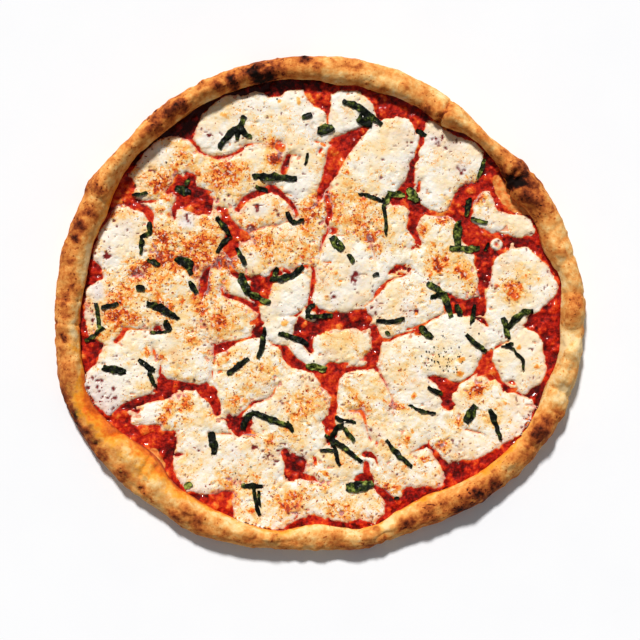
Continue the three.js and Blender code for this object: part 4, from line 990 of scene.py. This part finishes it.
# Each slice is a closed shell: its top from the maps, a bottom under the sauce, and walls between.
for number, (name, depth) in enumerate(zip(slices, depths)):
    mine = belongs == number
    near = depth > deepest - OVERLAP
    keep = near & (melt > -SINK) & (rim_edge < CLIMB)
    whole = keep[:-1, :-1] & keep[1:, :-1] & keep[:-1, 1:] & keep[1:, 1:]
    corner = np.flatnonzero(np.pad(whole, ((0, 1), (0, 1))).ravel())
    quads = np.column_stack((corner, corner + 1, corner + cells + 1, corner + cells))
    used, quads = np.unique(quads, return_inverse=True)
    quads = quads.reshape(-1, 4)
    top = everywhere[used]
    top[:, 2] = (cheese_height - TUCKED * ~mine).ravel()[used]
    bottom = everywhere[used]
    bottom[:, 2] = np.minimum(bed.ravel()[used] - BOTTOM_DEPTH, top[:, 2] - LEAST_THICK)
    sides = np.vstack([quads[:, [k, (k + 1) % 4]] for k in range(4)])
    key = np.minimum(sides[:, 0], sides[:, 1]) * len(used) + np.maximum(sides[:, 0], sides[:, 1])
    _, first_place, times = np.unique(key, return_index=True, return_counts=True)
    open_sides = sides[first_place[times == 1]]
    walls = np.column_stack((open_sides[:, 1], open_sides[:, 0], open_sides[:, 0] + len(used),
                             open_sides[:, 1] + len(used)))
    faces = np.vstack((quads, quads[:, ::-1] + len(used), walls))
    piece = new_piece(f"melted_mozzarella_{number + 1:02d}", np.vstack((top, bottom)), faces.tolist())
    paint(piece, **{mask: np.tile(values.ravel()[used], 2) for mask, values in (
        ("oily", np.clip(oily_map, 0, 1.2)), ("edge", shown_edge), ("browned", browned), ("pitted", pitted),
        ("lacy", lacy_map), ("golden", golden_map))})
    piece.data.materials.append(mozzarella_finish)
    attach(piece, "root")
    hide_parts(name)
covered = (melt > -SINK) & (deepest > -4) & (rim_edge < CLIMB)
top_map = np.where(covered, np.maximum(top_map, cheese_height), top_map)

# The oil that ran out of the cheese tints the sauce beside it, so the sauce is painted last.
cover = blurred((covered & (melt > 0)).astype(float), 6)
pool = oily_map - own_oil
oil = 0.9 * smooth(0.15, 0.75, read_map(cover, sx, sy)) + np.clip(read_map(pool, sx, sy), -1.2, 1)
# Painted shadow: in a band under the tall rim at the upper left, where the rim's shadow falls, the sauce is
# painted darker.
bearing = np.degrees(np.arctan2(sy - rim_middle[1], sx - rim_middle[0]))
shaded = smooth(-13, -3, past_foot(sx, sy) + 2 * lumps(np.column_stack((sx, sy, 0 * sx)), 9, 58))
shaded *= smooth(78, 95, bearing) * smooth(150, 136, bearing)
dough = np.zeros((cells, cells))
for streak in BARE_DOUGH:
    window, away = past_streak(streak)
    dough[window] = np.maximum(dough[window], smooth(1.5, -1, away))
for name, values in (("relief", sauce_relief), ("oil", oil), ("shaded", shaded),
                     ("tone", read_map(tone_map, sx, sy)), ("dough", read_map(dough, sx, sy))):
    paint(sauce, **{name: np.append(values, np.zeros(len(edge) + 1))})


# ---- Basil ------------------------------------------------------------------------------------
# Fresh leaves cut into ribbons and baked for the last minutes: wilted, dark and satin, creased
# along their veins, a few still green. They drape over what they fell on.

basil = Recipe("wilted_basil", {"Specular IOR Level": 0.10, "Coat Weight": 0.05, "Coat Roughness": 0.20})
# Painted highlight: the leaf is lighter along the raised crests of its creases.
leaf = basil.ramp(0.20 + 0.5 * basil.mask("fresh") + 0.16 * basil.mask("fold")
                  + 1.9 * (basil.speckle(5, 3) - 0.5) + 0.9 * (basil.speckle(1.4, 3) - 0.5), [
    (0.08, srgb(6, 7, 4)), (0.28, srgb(15, 20, 8)), (0.48, srgb(36, 46, 15)),
    (0.68, srgb(88, 98, 34)), (0.92, srgb(156, 168, 78)),
])
basil_finish = basil.finish(
    leaf, 0.40 + 0.3 * basil.speckle(2, 3),
    [(basil.speckle(2.0, 4, 0.65), 0.7), (basil.speckle(0.6, 2), 0.12)])

SPRING = 0.8                       # how much of its height a shred keeps as it wilts
REST = 0.15                        # how far it lies over what is under it
FRAY = 0.85                        # how far its edges wander
FOLD = 0.45                        # how high its creases stand
SHRED_EDGE = 0.4                   # how thick it is where its solid is too thin to measure
SHARP_FROM = 50                    # degrees
# How green a shred still is, by its number; the others are nearly black.
FRESHNESS = {3: 0.3, 8: 0.35, 12: 0.45, 13: 0.8, 15: 0.7, 16: 0.3, 22: 0.95, 24: 0.45, 30: 0.6, 31: 0.55}
WILTED = 0.12


def top_at(x, y):
    """The height of what lies on the pizza at a place."""
    column = int(round(x / CELL)) + HALF
    row = int(round(y / CELL)) + HALF
    return top_map[row - 1:row + 2, column - 1:column + 2].max()


def wilt(points, seed):
    """The points of a shred with ragged edges and creases, and how creased each is."""
    flat_place = points * (1, 1, 0)
    crease = 1 - 2.5 * np.abs(rough(flat_place, 4.5, seed + 3))
    moves = [FRAY * rough(flat_place, 4.2, seed), FRAY * rough(flat_place, 4.2, seed + 7)]
    return points + np.column_stack((*moves, FOLD * crease + 0.1)), crease


def laid(points, name):
    """The points of a shred lowered onto what is under it, with its own thickness and waves."""
    solid = surface(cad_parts[name].data)
    up = Vector((0, 0, 1))
    centre = points.mean(axis=0)
    lowest = np.empty(len(points))
    # Each ray goes up a little nearer the middle, because at the very edge it could miss the solid.
    for i, (px, py, _) in enumerate(points):
        inward = 0.98 * np.array((px, py)) + 0.02 * centre[:2]
        hit = solid.ray_cast(Vector((*inward, -5)), up)[0]
        lowest[i] = hit.z if hit else points[i, 2] - SHRED_EDGE
    ground = np.array([top_at(px, py) for px, py, _ in points])
    raised = np.clip(points[:, 2] - lowest, 0, 6)
    return np.column_stack((points[:, :2], ground + REST + SPRING * raised))


shreds = sorted(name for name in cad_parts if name.startswith("basil"))
for number, name in enumerate(shreds, 1):
    piece = bpy.data.objects.new(f"wilted_basil_{number:02d}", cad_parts[name].data.copy())
    bpy.context.scene.collection.objects.link(piece)
    piece.data.materials.clear()
    piece.modifiers.new("weld", "WELD").merge_threshold = 0.00001
    finer = piece.modifiers.new("finer", "SUBSURF")
    finer.subdivision_type = "SIMPLE"
    finer.levels = finer.render_levels = 2
    shaped = bpy.data.meshes.new_from_object(piece.evaluated_get(bpy.context.evaluated_depsgraph_get()))
    piece.modifiers.clear()
    piece.data = shaped
    points = np.empty(len(shaped.vertices) * 3)
    shaped.vertices.foreach_get("co", points)
    points, crease = wilt(laid(points.reshape(-1, 3) / MM, name), 200 + 11 * number)
    shaped.vertices.foreach_set("co", (points * MM).ravel())
    shaped.shade_smooth()
    shaped.set_sharp_from_angle(angle=math.radians(SHARP_FROM))
    # The crease values go on as fold, which the finish paints lighter as a highlight.
    paint(piece, fresh=np.full(len(points), FRESHNESS.get(number, WILTED)), fold=crease)
    shaped.materials.append(basil_finish)
    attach(piece, "root")
    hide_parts(name)


# ---- Small basil ------------------------------------------------------------------------------
# The crumbs and thin offcuts of the same leaves, scattered with the ribbons. Each is a closed strip
# of leaf, bent and folded, and they are joined into one piece.

OFFCUT_CELL = 0.9                  # the spacing of a strip's points
OFFCUT_LIFT = 0.35                 # how far its underside lies over what is under it
OFFCUT_THICKNESS = 0.45
# Each strip: x and y of its middle, length, width, heading and bend in degrees, how green it still is.
OFFCUTS = (
    (-10, 139, 7, 4, 20, 10, 0.3), (-10, 107, 9, 2.4, 80, 10, 0.15), (-43, 85, 9, 4, -15, 10, 0.5),
    (-102, 84, 12, 6.5, -17, 15, 0.2), (-99, 90, 6, 4, 60, 0, 0.2), (-134, 81, 12, 3.2, 10, 14, 0.1),
    (-127, 56, 9, 4, -85, 10, 0.2), (-130, 51, 8, 3.2, 20, 0, 0.1), (-132, 43, 12, 3.4, -95, -30, 0.15),
    (-124, 31, 10, 4.2, -22, 10, 0.2), (-133, 12, 6, 5, 5, 0, 0.25), (-156, -2, 13, 3.6, 12, 25, 0.1),
    (-113, -16, 8, 5, -60, 20, 0.1), (-119, -21, 16, 2.2, 8, 10, 0.3), (-94, 12, 11, 4, -60, 20, 0.1),
    (-23, 64, 10, 3.2, -70, 20, 0.1), (-17, 61, 10, 3, 10, 10, 0.15), (-59, 35, 15, 3.6, -62, 8, 0.15),
    (-33, 24, 7, 3.4, -110, 20, 0.1), (23, 34, 8, 4.4, -52, 0, 0.2), (41, 21, 5, 3, 20, 0, 0.15),
    (56, 81, 12, 5, -8, 10, 0.75), (50, 78, 8, 4, 60, 0, 0.6), (68, 83, 10, 5.5, -55, 10, 0.8),
    (70, 78, 9, 4, -10, 0, 0.7), (75, 127, 8, 3.4, -30, 0, 0.4), (120, 101, 16, 3.2, -108, -14, 0.5),
    (110, 72, 14, 4.2, -104, 8, 0.35), (118, 61, 13, 3.6, -15, 20, 0.85), (124, 42, 8, 2.6, 55, 0, 0.1),
    (103, -5, 9, 4.4, -66, 0, 0.3), (114, -8, 15, 3.2, -106, -22, 0.2), (79, -22, 13, 5, -48, 8, 0.3),
    (147, -37, 27, 2.4, -48, -92, 0.15), (140, -30, 7, 3, 0, 0, 0.1), (86, -65, 13, 3.4, -26, 10, 0.05),
    (75, -79, 21, 2.6, -18, 16, 0.2), (19, -87, 17, 3.6, -14, 8, 0.05), (21, -97, 12, 4, -50, -20, 0.15),
    (5, -109, 12, 3.2, 2, 0, 0.1), (-98, -135, 6, 5.4, 30, 0, 0.8), (-22, -91, 9, 3.4, -58, 0, 0.1),
    (-45, -144, 12, 2, -86, 6, 0.2), (57, -145, 4, 2, 10, 0, 0.2), (50, -22, 4, 3, 0, 0, 0.4),
)


def strip(x, y, length, width, heading, bend, seed):
    """The points and faces of one thin, closed strip of leaf along an arc."""
    steps = max(4, int(length / OFFCUT_CELL))
    lanes = max(3, int(width / OFFCUT_CELL) + 1)
    step = length / steps
    turn = math.radians(bend) / steps
    direction = math.radians(heading - bend / 2)
    line = [np.zeros(2)]
    facing = [direction]
    for _ in range(steps):
        halfway = direction + turn / 2
        line.append(line[-1] + step * np.array((math.cos(halfway), math.sin(halfway))))
        direction += turn
        facing.append(direction)
    line = np.array(line) - line[steps // 2] + (x, y)
    points = []
    for layer in (0, 1):
        for i, (spot, direction) in enumerate(zip(line, facing)):
            half = 0.5 * width * math.sin(math.pi * (0.12 + 0.76 * i / steps)) ** 0.5
            for lane in range(lanes):
                aside = half * (2 * lane / (lanes - 1) - 1)
                px = spot[0] - aside * math.sin(direction)
                py = spot[1] + aside * math.cos(direction)
                fold = 0.5 * math.cos(2.4 * aside + seed)
                lift = OFFCUT_LIFT + OFFCUT_THICKNESS * layer + fold * 0.5
                points.append((px, py, top_at(px, py) + lift))
    rows = steps + 1
    grid = grid_faces(rows, lanes, wrap=False)
    size = rows * lanes
    border = [*range(lanes), *range(2 * lanes - 1, size, lanes), *range(size - 2, size - lanes - 1, -1),
              *range(size - 2 * lanes, 0, -lanes)]
    walls = [(a, b, b + size, a + size) for a, b in zip(border, border[1:] + border[:1])]
    return np.array(points), [*grid.tolist(), *(grid[:, ::-1] + size).tolist(), *[w[::-1] for w in walls]]


bit_points, bit_faces, bit_fresh, bit_fold_highlight = [], [], [], []
for number, (*shape, fresh) in enumerate(OFFCUTS):
    points, faces = strip(*shape, seed=number)
    points, crease = wilt(points, 700 + 13 * number)
    start = sum(len(block) for block in bit_points)
    bit_faces += [[corner + start for corner in face] for face in faces]
    bit_points.append(points)
    bit_fresh.append(np.full(len(points), fresh))
    bit_fold_highlight.append(crease)
basil_bits = new_piece("basil_offcuts", np.vstack(bit_points), bit_faces)
paint(basil_bits, fresh=np.concatenate(bit_fresh), fold=np.concatenate(bit_fold_highlight))
basil_bits.data.materials.append(basil_finish)
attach(basil_bits, "root")


# ---- Cracked pepper ---------------------------------------------------------------------------
# Coarsely ground black pepper: half of it fell on one slice at the lower right, and the rest is
# dusted over the whole pizza. Each grain is a rough little lump, about a millimetre across.

GRAINS = 130
HEAP_SHARE = 0.5
HEAP_PLACE = (93, -42)
HEAP_SPREAD = 9
DUSTED_TO = 165                    # how far from the middle the rest goes

pepper_rng = np.random.default_rng(8)
grain_points, grain_faces = [], []
cube = np.array([(x, y, z) for x in (-1, 1) for y in (-1, 1) for z in (-1, 1)], float)
cube_faces = [(0, 1, 3, 2), (4, 6, 7, 5), (0, 4, 5, 1), (2, 3, 7, 6), (0, 2, 6, 4), (1, 5, 7, 3)]
for number in range(GRAINS):
    near = pepper_rng.random() < HEAP_SHARE
    while True:
        if near:
            px, py = pepper_rng.normal(HEAP_PLACE, HEAP_SPREAD)
        else:
            px, py = pepper_rng.uniform(-168, 168, 2)
        if math.hypot(px, py) < DUSTED_TO:
            break
    size = 0.25 + 0.38 * pepper_rng.random() ** 2
    lump = cube * size * pepper_rng.uniform(0.6, 1.1, (8, 3))
    lump += (px, py, top_at(px, py) + 0.1)
    grain_faces += [[corner + 8 * number for corner in face] for face in cube_faces]
    grain_points.append(lump)
pepper = new_piece("cracked_pepper", np.vstack(grain_points), grain_faces)
peppery = Recipe("black_pepper", {"Specular IOR Level": 0.3})
pepper.data.materials.append(peppery.finish(
    peppery.ramp(peppery.speckle(0.6, 2), [(0.35, srgb(22, 17, 13)), (0.7, srgb(66, 50, 36))]),
    0.7 + 0.2 * peppery.speckle(0.5, 2), [(peppery.speckle(0.3, 2), 0.05)]))
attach(pepper, "root")


# ---- Floor, light and camera ------------------------------------------------------------------
# A plain white table in a pale room, with a soft window at its far side, a little to the left and
# about 47 degrees up, and a camera straight above.

FLOOR_SIZE = 6.0
FLOOR_GAP = 0.0004                 # how far under the pizza the table lies
ROOM_LIGHT = 0.19
WINDOW_LIGHT = 3.7
WINDOW_SPREAD = 7                  # degrees across, which sets how soft the shadows are
WINDOW_DIRECTION = (-0.16, 0.715, 0.78)
VIEW_WIDTH = 0.4746                # what the frame shows across, at the height of the cheese
CHEESE_HEIGHT = 0.009
CAMERA_HEIGHT = 1.35
CAMERA_Y = -0.0122
SENSOR_WIDTH = 36

floor_mesh = bpy.data.meshes.new("table_top")
half = FLOOR_SIZE / 2
floor_mesh.from_pydata([(-half, -half, 0), (half, -half, 0), (half, half, 0), (-half, half, 0)], [],
                       [(0, 1, 2, 3)])
table_top = bpy.data.objects.new("table_top", floor_mesh)
bpy.context.scene.collection.objects.link(table_top)
table_top.location.z = -FLOOR_GAP
painted = Recipe("white_table", {"Specular IOR Level": 0.2})
table_top.data.materials.append(painted.finish(
    painted.mix(srgb(250, 251, 253), srgb(246, 247, 250), painted.speckle(60, 2)),
    0.8 + 0.05 * painted.speckle(20, 2), [(painted.speckle(2, 2), 0.02)]))

world = bpy.data.worlds.new("white_room")
world.use_nodes = True
room = world.node_tree.nodes["Background"]
room.inputs["Color"].default_value = (0.97, 0.985, 1.0, 1)
room.inputs["Strength"].default_value = ROOM_LIGHT
bpy.context.scene.world = world

lamp_data = bpy.data.lights.new("window", "SUN")
lamp_data.energy = WINDOW_LIGHT
lamp_data.angle = math.radians(WINDOW_SPREAD)
lamp_data.color = (1.0, 0.985, 0.965)
lamp = bpy.data.objects.new("window", lamp_data)
bpy.context.scene.collection.objects.link(lamp)
lamp.rotation_euler = Vector(WINDOW_DIRECTION).to_track_quat("Z", "Y").to_euler()

camera_data = bpy.data.cameras.new("camera")
camera_data.sensor_width = SENSOR_WIDTH
camera_data.lens = SENSOR_WIDTH * (CAMERA_HEIGHT - CHEESE_HEIGHT) / VIEW_WIDTH
camera = bpy.data.objects.new("camera", camera_data)
bpy.context.scene.collection.objects.link(camera)
camera.location = (0, CAMERA_Y, CAMERA_HEIGHT)
bpy.context.scene.camera = camera
bpy.context.scene.view_settings.view_transform = "Standard"
